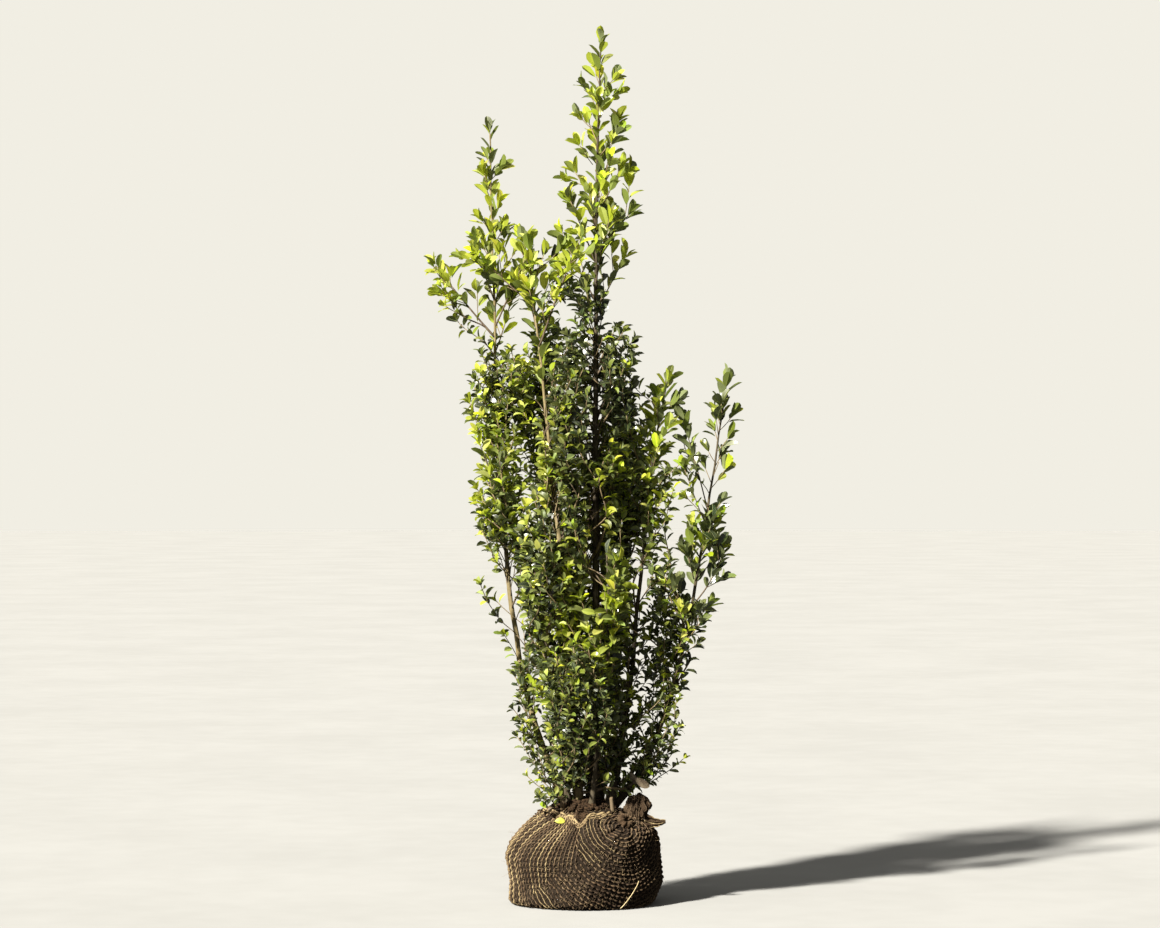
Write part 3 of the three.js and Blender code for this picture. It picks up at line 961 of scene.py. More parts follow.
def thicken(skeleton, tip_radius):
    """Each twig's radius, from the cross-sections of all that it carries."""
    count = len(skeleton.at)
    area = np.zeros(count)
    carried = np.zeros(count)
    for number in range(count - 1, -1, -1):
        area[number] = max(carried[number], tip_radius**2) + tip_radius**2 * 0.045
        parent = skeleton.parent[number]
        if parent is not None and not skeleton.is_stem[parent]:
            carried[parent] += area[number]
    return np.sqrt(area)


# ---------------------------------------------------------------- leaves


STALK = 0.14  # a leaf's stalk, as a share of its blade
TOOTH, TOOTH_PLACE = 0.07, 0.8  # how far a tooth stands out, in half widths, and how far on it stands


def leaf_template(stations, teeth):
    """A leaf with its base at 0 and its tip at 1: points as (along, across) and faces by size.

    Across is in half widths. The two halves don't share their points at the midrib, so the fold stays crisp.
    The outline is widest a little past the middle, and small spines may stand between the stations.
    """
    along = 0.5 - 0.5 * np.cos(np.linspace(0.0, math.pi, stations + 2)[1:-1])
    half_width = np.sin(math.pi * along**1.22) ** 0.52
    points = [(-STALK, -0.035), (-STALK, 0.035), (0.0, -0.05), (0.0, 0.05)]
    quads, triangles = [(0, 2, 3, 1)], []
    for way in (-1, 1):
        base = len(points)
        points.append((0.0, 0.0))
        for x, reach in zip(along, half_width):
            points += [(x, 0.0), (x, way * reach)]
        points.append((1.0, 0.0))

        def facing(*corners):
            return corners if way > 0 else corners[::-1]

        triangles.append(facing(base, base + 1, base + 2))
        for row in range(stations - 1):
            rib = base + 1 + 2 * row
            quads.append(facing(rib, rib + 2, rib + 3, rib + 1))
            if teeth:
                x = along[row] + TOOTH_PLACE * (along[row + 1] - along[row])
                reach = half_width[row] + TOOTH_PLACE * (half_width[row + 1] - half_width[row]) + TOOTH
                triangles.append(facing(rib + 1, rib + 3, len(points)))
                points.append((x, way * reach))
        last = base + 2 * stations - 1
        tip = base + 2 * stations + 1
        triangles.append(facing(last, tip, last + 1))
    return np.array(points), np.array(quads), np.array(triangles)


class Clearings:
    """Stretches of stem that show from the front because no leaf hangs before them."""

    STRETCHES = (
        ("leader_stem", 0.68, 0.96, 0.015),
        ("leader_stem", 1.02, 1.32, 0.013),
        ("west_inner_stem", 0.84, 0.98, 0.008),
        ("west_inner_stem", 1.06, 1.20, 0.009),
        ("west_outer_stem", 0.56, 0.82, 0.014),
        ("east_outer_stem", 0.90, 1.12, 0.012),
        ("east_inner_stem", 0.62, 0.76, 0.012),
        ("leader_stem", 0.24, 0.36, 0.012),
    )

    def __init__(self, lines):
        self.rows = [(lines[node], low, high, half) for node, low, high, half in self.STRETCHES]

    def hold(self, point, spare=0.0):
        for line, low, high, half in self.rows:
            if not low < point[2] < high:
                continue
            x = np.interp(point[2], line[:, 2], line[:, 0])
            y = np.interp(point[2], line[:, 2], line[:, 1])
            if abs(point[0] - x) < half + spare and point[1] < y + 0.02:
                return True
        return False


class LeafHeap:
    """Leaves of one colour, gathered as numbers and turned into meshes in one go."""

    def __init__(self):
        self.rows = []

    def add(self, base, heading, face, length_m, width_m, curl, fold, twist, tile):
        self.rows.append((*base, *heading, *face, length_m, width_m, curl, fold, twist, tile))

    def piles(self, template):
        points, quads, triangles = template
        per_leaf = 2 * len(quads) + len(triangles)
        limit = PIECE_LIMIT // per_leaf
        rows = np.array(self.rows)
        for start in range(0, len(rows), limit):
            yield self.pile(rows[start : start + limit], points, quads, triangles)

    def pile(self, rows, points, quads, triangles):
        count = len(rows)
        base, heading, face = rows[:, 0:3], unit(rows[:, 3:6]), rows[:, 6:9]
        size, width, curl, fold, twist, tile = (rows[:, k][:, None] for k in range(9, 15))
        face = unit(face - heading * (face * heading).sum(axis=1, keepdims=True))
        side = np.cross(face, heading)
        x, y = points[None, :, 0], points[None, :, 1]
        bend = curl * np.clip(x, 0, 1) + 1e-4
        ahead = size * (np.sin(bend) / (curl + 1e-4)) + size * np.minimum(x, 0)
        drop = size * (1 - np.cos(bend)) / (curl + 1e-4)
        across = y * width / 2
        ripple = 0.045 * width * np.sin(9.0 * x + tile * 1.7) * np.abs(y)
        lift = fold * np.abs(across) - drop + ripple
        roll = twist * x
        turned_across = across * np.cos(roll) - lift * np.sin(roll)
        turned_lift = across * np.sin(roll) + lift * np.cos(roll)
        made = (
            base[:, None, :]
            + ahead[:, :, None] * heading[:, None, :]
            + turned_across[:, :, None] * side[:, None, :]
            + turned_lift[:, :, None] * face[:, None, :]
        )
        shift = (np.arange(count) * len(points))[:, None, None]
        u = (0.5 + 0.42 * y / 1.13 + tile % TILES) / TILES
        v = (0.14 + 0.82 * (x + STALK) / (1 + STALK) * np.ones_like(u) + tile // TILES) / TILES
        flat = np.stack([u, v], axis=-1)
        pile = Pile()
        pile.add(made, [(quads[None] + shift).reshape(-1, 4), (triangles[None] + shift).reshape(-1, 3)])
        order = [flat[:, quads.ravel()], flat[:, triangles.ravel()]]
        pile.uvs = [part.reshape(-1, 2).astype(np.float32) for part in order]
        return pile


CLASSES_OF_LEAF = ("deep", "middle", "fresh", "lime")
# Patches of painted light and shade on the leaves seen from the front: x, z, radius and how much lighter.
PAINTED_LIGHT_PATCHES = (
    (0.050, 1.270, 0.140, -0.75),
    (0.015, 1.700, 0.260, 0.16),
    (-0.210, 1.600, 0.260, 0.24),
    (0.045, 1.130, 0.080, -0.30),
    (0.000, 1.420, 0.080, -0.25),
    (0.020, 0.690, 0.120, 0.60),
    (0.130, 0.980, 0.120, 0.20),
    (-0.160, 1.020, 0.120, 0.14),
    (-0.020, 0.950, 0.060, -0.20),
    (0.060, 0.330, 0.120, -0.15),
    (-0.090, 0.400, 0.150, -0.12),
)


GRADE_STEPS = (0.26, 0.58, 0.86)  # scores past which a spray is middle, fresh and lime


def spray_class(shoot, chance):
    """The colour of a whole spray, from how far out, how high and how far west its shoot stands: partly the
    leaves' age, partly painted light and shade.
    """
    height = shoot["at"][2] / CAD_BOX[1][2]
    # Higher and outer sprays are lighter and deeper ones darker: partly younger and older leaves, partly
    # painted light and painted shade.
    score = (0.20 + 0.42 * height) if shoot["mass"] in SPIRE_MASSES | LOOSE_MASSES else (0.13 + 0.38 * height)
    score += 0.16 if shoot["depth"] < 0.035 else 0.0
    score -= min(shoot["depth"], 0.12) * 3.0
    # Painted light: sprays on the west, where the key light comes from, are lighter, more so higher up, and
    # those to the east a little darker as painted shade.
    sunny = min(1.0, max(0.0, shoot["at"][2] - 0.2) / 0.7)
    score -= 0.80 * sunny * min(shoot["at"][0], 0.0) + 0.15 * max(shoot["at"][0], 0.0)
    # Painted light and shade from the patches.
    for x, z, radius, gain in PAINTED_LIGHT_PATCHES:
        score += gain * max(0.0, 1 - math.hypot(shoot["at"][0] - x, shoot["at"][2] - z) / radius) ** 0.5
    score += chance.gauss(0, 0.22)
    return sum(score > step for step in GRADE_STEPS)


# How far leaves lean off their shoot, in radians: in a tip's tuft, on a spire, in the body of the crown.
TUFT_SPREAD = (0.12, 0.60)
SPIRE_SPREAD = (0.38, 0.85)
BODY_SPREAD = (0.5, 1.25)
# Leaf sizes as shares of a full-grown leaf's, and the share that the lowest leaves lack.
SPIRE_GROWTH, BODY_GROWTH, FRONT_GROWTH, LOW_LOSS = 1.16, 0.80, 1.45, 0.24
LOWEST_LEAF, LOW_BAND = 0.25, 0.45  # their height, and the band over which leaves grow larger
TOOTHED_DEPTH = 0.050  # leaves nearer than this to the outside of the crown have teeth


def dress_shoot(heaps, clearings, path, grade, shoot, settings, chance, leafy, step):
    """Leaves in a spiral along the end of a shoot, with a close tuft of younger ones at its tip."""
    gaps = np.linalg.norm(np.diff(path, axis=0), axis=1)
    travel = np.concatenate([[0], np.cumsum(gaps)])
    total = travel[-1]
    turn = chance.uniform(0, FULL_TURN)
    places = []
    here = max(0.010, total - leafy)
    while here < total - 0.005:
        places.append((here, False))
        here += step * chance.uniform(0.7, 1.3)
    places += [(total - 0.0016 * k, True) for k in range(chance.choice((3, 4, 4, 5)))]
    tangents = unit(np.gradient(path, axis=0))
    for far, tuft in places:
        turn += GOLDEN_ANGLE + chance.uniform(-0.3, 0.3)
        point = np.array([np.interp(far, travel, path[:, k]) for k in range(3)])
        axis = unit(np.array([np.interp(far, travel, tangents[:, k]) for k in range(3)]))
        side = unit(np.cross(axis, [0.21, 0.93, 0.3]))
        radial = side * math.cos(turn) + np.cross(axis, side) * math.sin(turn)
        spire = shoot["mass"] in SPIRE_MASSES
        spread = chance.uniform(*(TUFT_SPREAD if tuft else SPIRE_SPREAD if spire else BODY_SPREAD))
        heading = unit(axis * math.cos(spread) + radial * math.sin(spread) + UP * 0.08)
        face = axis * math.sin(spread) - radial * math.cos(spread) + UP * 0.25
        face = face + np.array([chance.gauss(0, 0.50) for _ in range(3)])
        low = 1 - min(max((point[2] - LOWEST_LEAF) / LOW_BAND, 0.0), 1.0)
        growth = chance.uniform(0.62, 1.0) if tuft else chance.uniform(0.74, 1.14)
        growth *= 1 - LOW_LOSS * low
        growth *= SPIRE_GROWTH if spire else BODY_GROWTH
        growth *= FRONT_GROWTH if shoot["mass"] == "front_shoots" else 1.0
        size = settings.leaf_length * growth
        if clearings.hold(point + heading * size * 0.55, 0.25 * size * abs(heading[2])):
            continue
        # Leaves differ from their spray by a grade at random; in the body of the crown some are two grades
        # lighter, painted highlights in place of glints.
        shade = grade
        luck = chance.random()
        if tuft and shoot["depth"] < 0.08 and luck < 0.5:
            shade += 1
        elif luck > 0.70:
            shade -= 1
        elif luck > 0.50:
            shade += 1 if spire or luck > 0.60 else 2
        name = CLASSES_OF_LEAF[min(max(shade, 0), 3)]
        heaps[(name, "outer" if shoot["depth"] < TOOTHED_DEPTH else "inner")].add(
            point + heading * size * STALK,
            heading,
            face,
            size,
            settings.leaf_width * growth * chance.uniform(0.84, 1.12),
            chance.uniform(0.10, 0.70) + (0.0 if spire else chance.uniform(0.1, 0.8)),
            chance.uniform(0.25, 0.60) if spire else chance.uniform(0.25, 0.95),
            chance.gauss(0, 0.30 + 0.25 * low),
            chance.randrange(TILES * TILES),
        )


def twig_tubes(shoots, radii, split):
    """Twigs as tapering tubes: older wood in the first pile, the last stretch of each shoot in the second."""
    brown, green = Pile(), Pile()
    for shoot in shoots:
        path = shoot["path"]
        numbers = shoot["numbers"]
        size = radii[numbers]
        size[0] = size[1]
        gaps = np.linalg.norm(np.diff(path, axis=0), axis=1)
        left = np.concatenate([np.cumsum(gaps[::-1])[::-1], [0.0]])
        cut = int(np.argmax(left < split))
        if cut >= 2:
            brown.add(*tube(path[: cut + 1], size[: cut + 1], 6))
        if len(path) - cut >= 2:
            green.add(*tube(path[cut:], size[cut:], 5))
    return brown, green


def build_foliage(settings):
    chance = random.Random(settings.seed)
    crown = Crown()
    skeleton = Skeleton()
    lines, numbers = {}, {}
    for node in STEM_NODES:
        path, _, travel = stem_path(node, 0.012)
        numbers[node] = skeleton.extend(path[travel > 0.035], None, True)
        lines[node] = path
    clearings = Clearings(lines)
    shoots = side_shoots(skeleton, lines, numbers, crown, settings, chance)
    buds = [bud for bud in scatter_buds(crown, settings, chance) if not clearings.hold(bud["at"])]
    shoots += grow(skeleton, buds, chance)
    radii = thicken(skeleton, settings.twig_tip)

    heaps = {(name, grade): LeafHeap() for name in CLASSES_OF_LEAF for grade in ("outer", "inner")}
    for shoot in shoots:
        grade = spray_class(shoot, chance)
        if shoot["mass"] in SPIRE_MASSES:
            span = float(np.linalg.norm(shoot["path"][-1] - shoot["path"][0]))
            crowd = 1.05 if shoot["mass"].startswith("east") else 1.4
            leafy, step = max(0.6 * span, 0.03), settings.leaf_step * crowd
        elif shoot["mass"] in LOOSE_MASSES:
            leafy, step = chance.uniform(0.05, 0.10), settings.leaf_step * 1.2
        else:
            leafy, step = chance.uniform(0.06, 0.12), settings.leaf_step
        dress_shoot(heaps, clearings, shoot["path"], grade, shoot, settings, chance, leafy, step)
    for node, path in lines.items():
        top = {"at": path[-1], "mass": "leader_tip", "depth": 0.02}
        reach = settings.leafy_top * (1.5 if node == "leader_stem" else 1.0)
        step = settings.spire_step * (0.45 if node.startswith("east") else 0.85)
        dress_shoot(heaps, clearings, path, spray_class(top, chance), top, settings, chance, reach, step)

    fresh_nodes = [node for node in MASS_NODES if SLOT_OF[node] == "fresh_foliage"]
    deep_nodes = [node for node in MASS_NODES if SLOT_OF[node] == "deep_foliage"]
    under = tuple(settings.underside)
    fresh_under, lime_under = mixed(settings.fresh, under, 0.5), mixed(settings.lime, under, 0.2)
    # Upper and lower colours, roughness, coat, share of light let through, slot and replaced nodes.
    finishes = {
        "deep": (settings.deep, under, 0.38, 0.70, 0.10, "deep_foliage", deep_nodes),
        "middle": (settings.middle, under, 0.40, 0.60, 0.20, "deep_foliage", deep_nodes),
        "fresh": (settings.fresh, fresh_under, 0.42, 0.35, 0.42, "fresh_foliage", fresh_nodes),
        "lime": (settings.lime, lime_under, 0.46, 0.25, 0.48, "fresh_foliage", fresh_nodes),
    }
    templates = {"outer": leaf_template(4, True), "inner": leaf_template(4, False)}
    for name, (top, below, rough, coat, glow, slot, nodes) in finishes.items():
        material = leaf_material(name + " leaf", tuple(top), below, rough, coat, glow)
        for grade, template in templates.items():
            heap = heaps[(name, grade)]
            if not heap.rows:
                continue
            for number, pile in enumerate(heap.piles(template)):
                title = f"{name}_leaves_{grade}_{number + 1}"
                pile.make(title, material, slot, nodes)
    brown, green = twig_tubes(shoots, radii, 0.07)
    brown_bark = bark_material("brown twig", tuple(settings.brown_twig), 0.7)
    green_bark = bark_material("green twig", tuple(settings.green_twig), 0.55)
    brown.make("brown_twigs", brown_bark, "old_bark", [])
    green.make("green_twigs", green_bark, "young_bark", [])


# ---------------------------------------------------------------- root ball


def towards(turn, slope):
    """Unit directions from a turn round +Z, starting at +X, and a slope above the level."""
    turn, slope = np.broadcast_arrays(np.asarray(turn, dtype=float), np.asarray(slope, dtype=float))
    return np.stack([np.cos(turn) * np.cos(slope), np.sin(turn) * np.cos(slope), np.sin(slope)], axis=-1)


def node_middle(node):
    low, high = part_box(node)
    return (np.array(low) + np.array(high)) / 2


GATHER_SHIFT = np.array([-0.08, -0.15, -0.08])  # from the knot's direction to the middle of the cloth's rings


class BallShape:
    """The wrapped ball's skin, in every direction from its heart."""

    TURNS = 96
    SLOPES = 61
    LOWEST = 0.0008  # nothing reaches below this

    def __init__(self):
        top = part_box("root_ball")[1][2]
        self.heart = np.array([0.0, 0.0, top * 0.45])
        tree = node_tree("root_ball")
        ways = towards(
            (np.arange(self.TURNS) * FULL_TURN / self.TURNS)[:, None],
            np.linspace(-math.pi / 2, math.pi / 2, self.SLOPES)[None, :],
        )
        heart = Vector(self.heart)
        self.reach = np.array([[tree.ray_cast(heart, Vector(way), 1.0)[3] for way in row] for row in ways])
        for _ in range(2):
            rolled = np.roll(self.reach, 1, axis=0) + np.roll(self.reach, -1, axis=0)
            self.reach = 0.5 * self.reach + 0.25 * rolled
        self.knot = unit(node_middle("cloth_knot") - self.heart)
        self.knot_side = unit(np.cross(UP, self.knot))
        self.knot_up = np.cross(self.knot, self.knot_side)
        self.gather = unit(self.knot + GATHER_SHIFT)
        self.gather_side = unit(np.cross(UP, self.gather))
        self.gather_up = np.cross(self.gather, self.gather_side)

    def from_knot(self, way):
        """The angle of a direction from the knot, and its bearing round it."""
        bearing = np.arctan2(way @ self.knot_up, way @ self.knot_side)
        return np.arccos(np.clip(way @ self.knot, -1, 1)), bearing

    def about_gather(self, angle, bearing):
        """Unit directions at an angle from the place that the cloth is drawn to, and a bearing round it."""
        angle, bearing = np.broadcast_arrays(np.asarray(angle, dtype=float), np.asarray(bearing, dtype=float))
        across = np.cos(bearing)[..., None] * self.gather_side + np.sin(bearing)[..., None] * self.gather_up
        return np.cos(angle)[..., None] * self.gather + np.sin(angle)[..., None] * across

    def skin(self, way, lift=0.0):
        """Points on the wrapped ball, lift above the cloth."""
        turn = np.arctan2(way[..., 1], way[..., 0])
        slope = np.arcsin(np.clip(way[..., 2], -1, 1))
        i = (turn / FULL_TURN * self.TURNS) % self.TURNS
        j = np.clip((slope / math.pi + 0.5) * (self.SLOPES - 1), 0, self.SLOPES - 1.001)
        i0, j0 = i.astype(int) % self.TURNS, j.astype(int)
        i1, j1 = (i0 + 1) % self.TURNS, j0 + 1
        a, b = i - np.floor(i), j - j0
        reach = (
            self.reach[i0, j0] * (1 - a) * (1 - b)
            + self.reach[i1, j0] * a * (1 - b)
            + self.reach[i0, j1] * (1 - a) * b
            + self.reach[i1, j1] * a * b
        )
        angle, bearing = self.from_knot(way)
        gather = np.clip((slope - 0.35) / 0.5, 0, 1) * np.clip((1.35 - slope) / 0.3, 0, 1)
        neck_folds = np.sin(17 * turn + 1.2 * np.sin(3 * turn)) + 0.6 * np.sin(29 * turn + 2.0)
        knot_folds = np.sin(12 * bearing + 1.5 * np.sin(2 * bearing)) + 0.5 * np.sin(23 * bearing)
        sag = np.sin(3 * turn + 4 * slope) + 0.7 * np.sin(5 * turn - 6 * slope + 1.0)
        rough = np.sin(19 * turn + 3 * np.sin(11 * slope)) * np.sin(16 * slope + 2 * np.sin(9 * turn))
        ridge = np.exp(-(((turn + 0.30 + 0.25 * np.sin(4 * slope)) / 0.06) ** 2)) * np.clip(slope + 0.5, 0, 1)
        reach = reach - 0.0045 + 0.0020 * gather * neck_folds + 0.0022 * sag + 0.0009 * rough
        reach = reach + 0.0024 * knot_folds * np.exp(-(((angle - 0.32) / 0.24) ** 2)) + 0.0035 * ridge
        points = self.heart + (reach + lift)[..., None] * way
        points[..., 2] = np.maximum(points[..., 2], self.LOWEST)
        return points


def ball_cloth(shape):
    """The closed cloth skin under the yarns."""
    around, along = 190, 84
    turns = np.arange(around) * FULL_TURN / around
    slopes = np.linspace(-1.45, 1.50, along)
    points = shape.skin(towards(turns[None, :], slopes[:, None]))
    points[0, :, 2] = shape.LOWEST
    ends = [points[0].mean(axis=0), points[-1].mean(axis=0)]
    return np.vstack([points.reshape(-1, 3), *ends]), ring_faces(along, around)


LOW_SLOPE = -0.60  # where the yarns turn under the ball
NECK_SLOPE = 0.93  # the edge of the open neck
BACK_EDGE = math.radians(38)  # where the knotted flap ends behind the east side


def west_edge(slope):
    """The turn of the knotted flap's west edge, which runs straight down and then slants off to the west."""
    return math.radians(-97) - math.radians(44) * np.clip((0.06 - slope) / 0.5, 0, 1) ** 0.9


def flap_of(way):
    """True where a direction lies on the knotted flap, false on the upright one."""
    turn = np.arctan2(way[..., 1], way[..., 0])
    slope = np.arcsin(np.clip(way[..., 2], -1, 1))
    return (turn > west_edge(slope)) & (turn < BACK_EDGE)


def runs(keep, shortest=7):
    """The unbroken stretches of a row of true and false, as slices."""
    edges = np.flatnonzero(np.diff(np.concatenate([[0], keep.astype(int), [0]])))
    return [slice(a, b) for a, b in zip(edges[::2], edges[1::2]) if b - a >= shortest]


def yarn(pile, shape, way, radius, beat, phase, chance, sides=5, weave=0.75):
    """One yarn along some directions. It goes over and under what crosses it, once each beat."""
    base = shape.skin(way)
    run = np.concatenate([[0], np.cumsum(np.linalg.norm(np.diff(base, axis=0), axis=1))])
    over = np.sin(run * math.pi / beat + phase)
    path = base + way * (radius * (0.45 + weave * over))[:, None]
    size = radius * (1 + 0.34 * weave * over) * np.array([chance.uniform(0.82, 1.18) for _ in run])
    size[0] *= 0.4
    size[-1] *= 0.4
    path[:, 2] = np.maximum(path[:, 2], size + shape.LOWEST)
    pile.add(*tube(path, size, sides))


def knotted_flap(piles, shape, settings, chance):
    """Yarns in rings about the gathered point: bright on the bias at the front, dark and level below it."""
    belly = shape.reach[:, shape.SLOPES // 2].mean()
    angles = np.arange(0.07, 2.5, settings.yarn_pitch / belly)
    for number, angle in enumerate(angles):
        step = 0.0027 / belly / max(math.sin(angle), 0.15)
        bearing = np.arange(0, FULL_TURN + step, step)
        waver = 0.012 * np.sin(bearing * 7 + 0.4 * number) + 0.007 * np.sin(bearing * 23 + 2 * number)
        way = shape.about_gather(angle + waver * min(1.0, angle), bearing)
        slope = np.arcsin(way[:, 2])
        turn = np.arctan2(way[:, 1], way[:, 0])
        keep = flap_of(way) & (slope > LOW_SLOPE) & (slope < NECK_SLOPE)
        fade = math.radians(-70 + chance.uniform(-13, 9))
        bias = (turn < fade) & (slope > 0.06) & (angle < 0.88) & (number % 4 != 1)
        low_hem = (turn < fade - 0.5) & (slope < -0.05) & (1.52 < angle < 1.70)
        for bright, part in ((True, keep & (bias | low_hem)), (False, keep & ~(bias | low_hem))):
            for run in runs(part):
                if bright:
                    name = "straw"
                    radius = settings.yarn_radius * chance.uniform(0.36, 0.52)
                    weave = 0.4
                else:
                    # Painted light: on the shaded east side the yarns are more often light jute than damp
                    # jute.
                    east = turn[run].mean() > math.radians(-35)
                    name = "jute" if chance.random() < (0.65 if east else 0.42) else "damp"
                    radius = settings.yarn_radius * chance.uniform(0.60, 0.88)
                    weave = 0.95
                phase = number * math.pi
                yarn(piles[name], shape, way[run], radius, settings.net_pitch, phase, chance, weave=weave)


def upright_flap(piles, shape, settings, chance):
    """Yarns that rise from the foot, lean over the shoulder and close up at the neck."""
    belly = shape.reach[:, shape.SLOPES // 2].mean()
    low, high = BACK_EDGE - FULL_TURN, math.radians(-100)
    for number, foot in enumerate(np.arange(low, high + 0.9, settings.yarn_pitch / belly)):
        foot_slope = LOW_SLOPE - chance.uniform(0, 0.05)
        slopes = np.arange(foot_slope, NECK_SLOPE + chance.uniform(-0.02, 0.10), 0.0145)
        ease = np.clip(slopes / NECK_SLOPE, 0, 1)
        ease = ease * ease * (3 - 2 * ease)
        front = np.clip((foot - math.radians(-215)) / math.radians(80), 0, 1)
        turns = foot + ease * front * (0.20 + 0.27 * (high - foot)) + 0.02 * np.sin(slopes * 5 + foot * 3)
        way = towards(turns, slopes)
        # Painted light: light straw yarns are more common on the lit west and front of the ball.
        lit = foot > math.radians(-205)
        luck = chance.random()
        name = "straw" if luck < (0.32 if lit else 0.14) else "jute" if luck < 0.76 else "damp"
        for run in runs(~flap_of(towards(turns - 0.05, slopes)) | (turns < low + 0.1)):
            radius = settings.yarn_radius * chance.uniform(0.52, 0.86)
            yarn(piles[name], shape, way[run], radius, settings.net_pitch, number * math.pi, chance)


def cross_threads(shape, settings):
    """The fine threads of the net: spokes from the knot, and level rings round the upright flap."""
    chance = random.Random(settings.seed + 1)
    pile = Pile()
    belly = shape.reach[:, shape.SLOPES // 2].mean()
    thin = settings.yarn_radius * 0.30
    spokes = int(FULL_TURN * belly / settings.net_pitch)
    for number in range(spokes):
        bearing = number * FULL_TURN / spokes
        start = (0.24, 0.95, 0.50, 0.95)[number % 4]
        angle = np.arange(start, 2.5, 0.0048 / belly)
        way = shape.about_gather(angle, bearing + 0.03 * np.sin(angle * 7 + number))
        slope = np.arcsin(way[:, 2])
        for run in runs(flap_of(way) & (slope > LOW_SLOPE) & (slope < NECK_SLOPE)):
            yarn(pile, shape, way[run], thin, settings.yarn_pitch, number * math.pi, chance, 3, 2.2)
    for number, slope in enumerate(np.arange(LOW_SLOPE, NECK_SLOPE, settings.net_pitch / belly)):
        turns = np.arange(BACK_EDGE - FULL_TURN, math.radians(-90), 0.0052 / belly)
        level = slope + 0.012 * np.sin(turns * 7 + slope * 9)
        way = towards(turns, level)
        for run in runs(~flap_of(way)):
            yarn(pile, shape, way[run], thin, settings.yarn_pitch, number * math.pi, chance, 3, 2.2)
    return pile


def hems(shape, settings, chance):
    """The rolled edge of the cloth round the neck, dipping at the front."""
    pile = Pile()
    turns = np.linspace(math.radians(-262), math.radians(-46), 150)
    dip = 0.22 * np.exp(-(((turns - math.radians(-95)) / 0.16) ** 2))
    for row in range(3):
        neck = towards(turns, 0.90 - 0.035 * row - dip + 0.012 * np.sin(turns * 13 + row))
        size = settings.yarn_radius * (1.25, 0.85, 0.7)[row]
        yarn(pile, shape, neck, size, 0.013, row, chance, 7, 0.35)
    return pile


def loose_fibres(shape, settings, chance):
    """Short stray fibres that stand off the yarns."""
    pile = Pile()
    for _ in range(420):
        way = towards(chance.uniform(-math.pi, math.pi), chance.uniform(LOW_SLOPE + 0.08, NECK_SLOPE + 0.05))
        start = shape.skin(way, 0.0015)
        lean = unit(way * chance.uniform(0.2, 0.9) + np.array([chance.gauss(0, 0.8) for _ in range(3)]))
        curl = np.array([chance.gauss(0, 0.5) for _ in range(3)])
        span = chance.uniform(0.004, 0.013)
        t = np.linspace(0, 1, 5)[:, None]
        path = start + (lean * t + curl * t**2) * span
        path[:, 2] = np.maximum(path[:, 2], 0.0012)
        pile.add(*tube(path, np.linspace(0.00028, 0.00012, 5), 3))
    return pile


def knot_ring(shape):
    """The knot of the cloth: a thick pleated ring round a dark hole, facing out from the ball."""
    low, high = box_of("cloth_knot")
    middle = shape.skin(shape.knot, 0.004)
    wide, thick = 0.0125, 0.0066
    around, section = 72, 22
    points = []
    for i in range(around):
        bearing = i * FULL_TURN / around
        out = math.cos(bearing) * shape.knot_side + math.sin(bearing) * shape.knot_up
        pleat = 1 + 0.20 * math.sin(9 * bearing) + 0.10 * math.sin(17 * bearing + 1)
        for j in range(section):
            roll = j * FULL_TURN / section
            fold = thick * pleat * (1 + 0.10 * math.sin(3 * roll + 5 * bearing))
            across = out * (wide + fold * math.cos(roll))
            points.append(middle + across + shape.knot * 1.25 * fold * math.sin(roll))
    here = np.arange(around)[:, None] * section
    there = (here + section) % (around * section)
    a, b = np.arange(section), (np.arange(section) + 1) % section
    quads = np.stack([here + a, there + a, there + b, here + b], axis=-1).reshape(-1, 4)
    return np.clip(points, low - 0.006, high + 0.006), [quads]


def build_root_ball(settings):
    shape = BallShape()
    chance = random.Random(settings.seed)
    soil = tuple(settings.soil)
    straw, jute, damp = tuple(settings.straw), tuple(settings.jute), tuple(settings.damp_jute)
    pile = Pile()
    pile.add(*ball_cloth(shape))
    # The cloth under the yarns is darkened almost to soil, and its holes past the soil colour: partly soil,
    # partly painted shade between the yarns.
    holes = mixed(soil, BLACK, 0.4)
    cloth = hessian_material("ball hessian", mixed(damp, soil, 0.85), soil, holes, 380.0)
    pile.make("ball_hessian", cloth, "hessian_ball", ["root_ball"])
    piles = {"straw": Pile(), "jute": Pile(), "damp": Pile()}
    upright_flap(piles, shape, settings, chance)
    knotted_flap(piles, shape, settings, chance)
    colours = {"straw": (straw, jute), "jute": (jute, damp), "damp": (damp, mixed(damp, soil, 0.6))}
    threads = {name: thread_material(f"{name} yarn", *colours[name]) for name in colours}
    for name, made in piles.items():
        made.make(f"{name}_yarns", threads[name], "hessian_ball", [])
    net = cross_threads(shape, settings)
    net_thread = thread_material("cross thread", mixed(straw, jute, 0.85), soil)
    net.make("cross_threads", net_thread, "hessian_ball", [])
    hems(shape, settings, chance).make("hems", threads["straw"], "hessian", [])
    loose_fibres(shape, settings, chance).make("loose_fibres", threads["straw"], "hessian", [])
    ring = Pile()
    ring.add(*knot_ring(shape))
    gathered = hessian_material("knotted hessian", mixed(jute, damp, 0.5), damp, soil, 520.0)
    ring.make("cloth_knot_ring", gathered, "hessian", ["cloth_knot"])


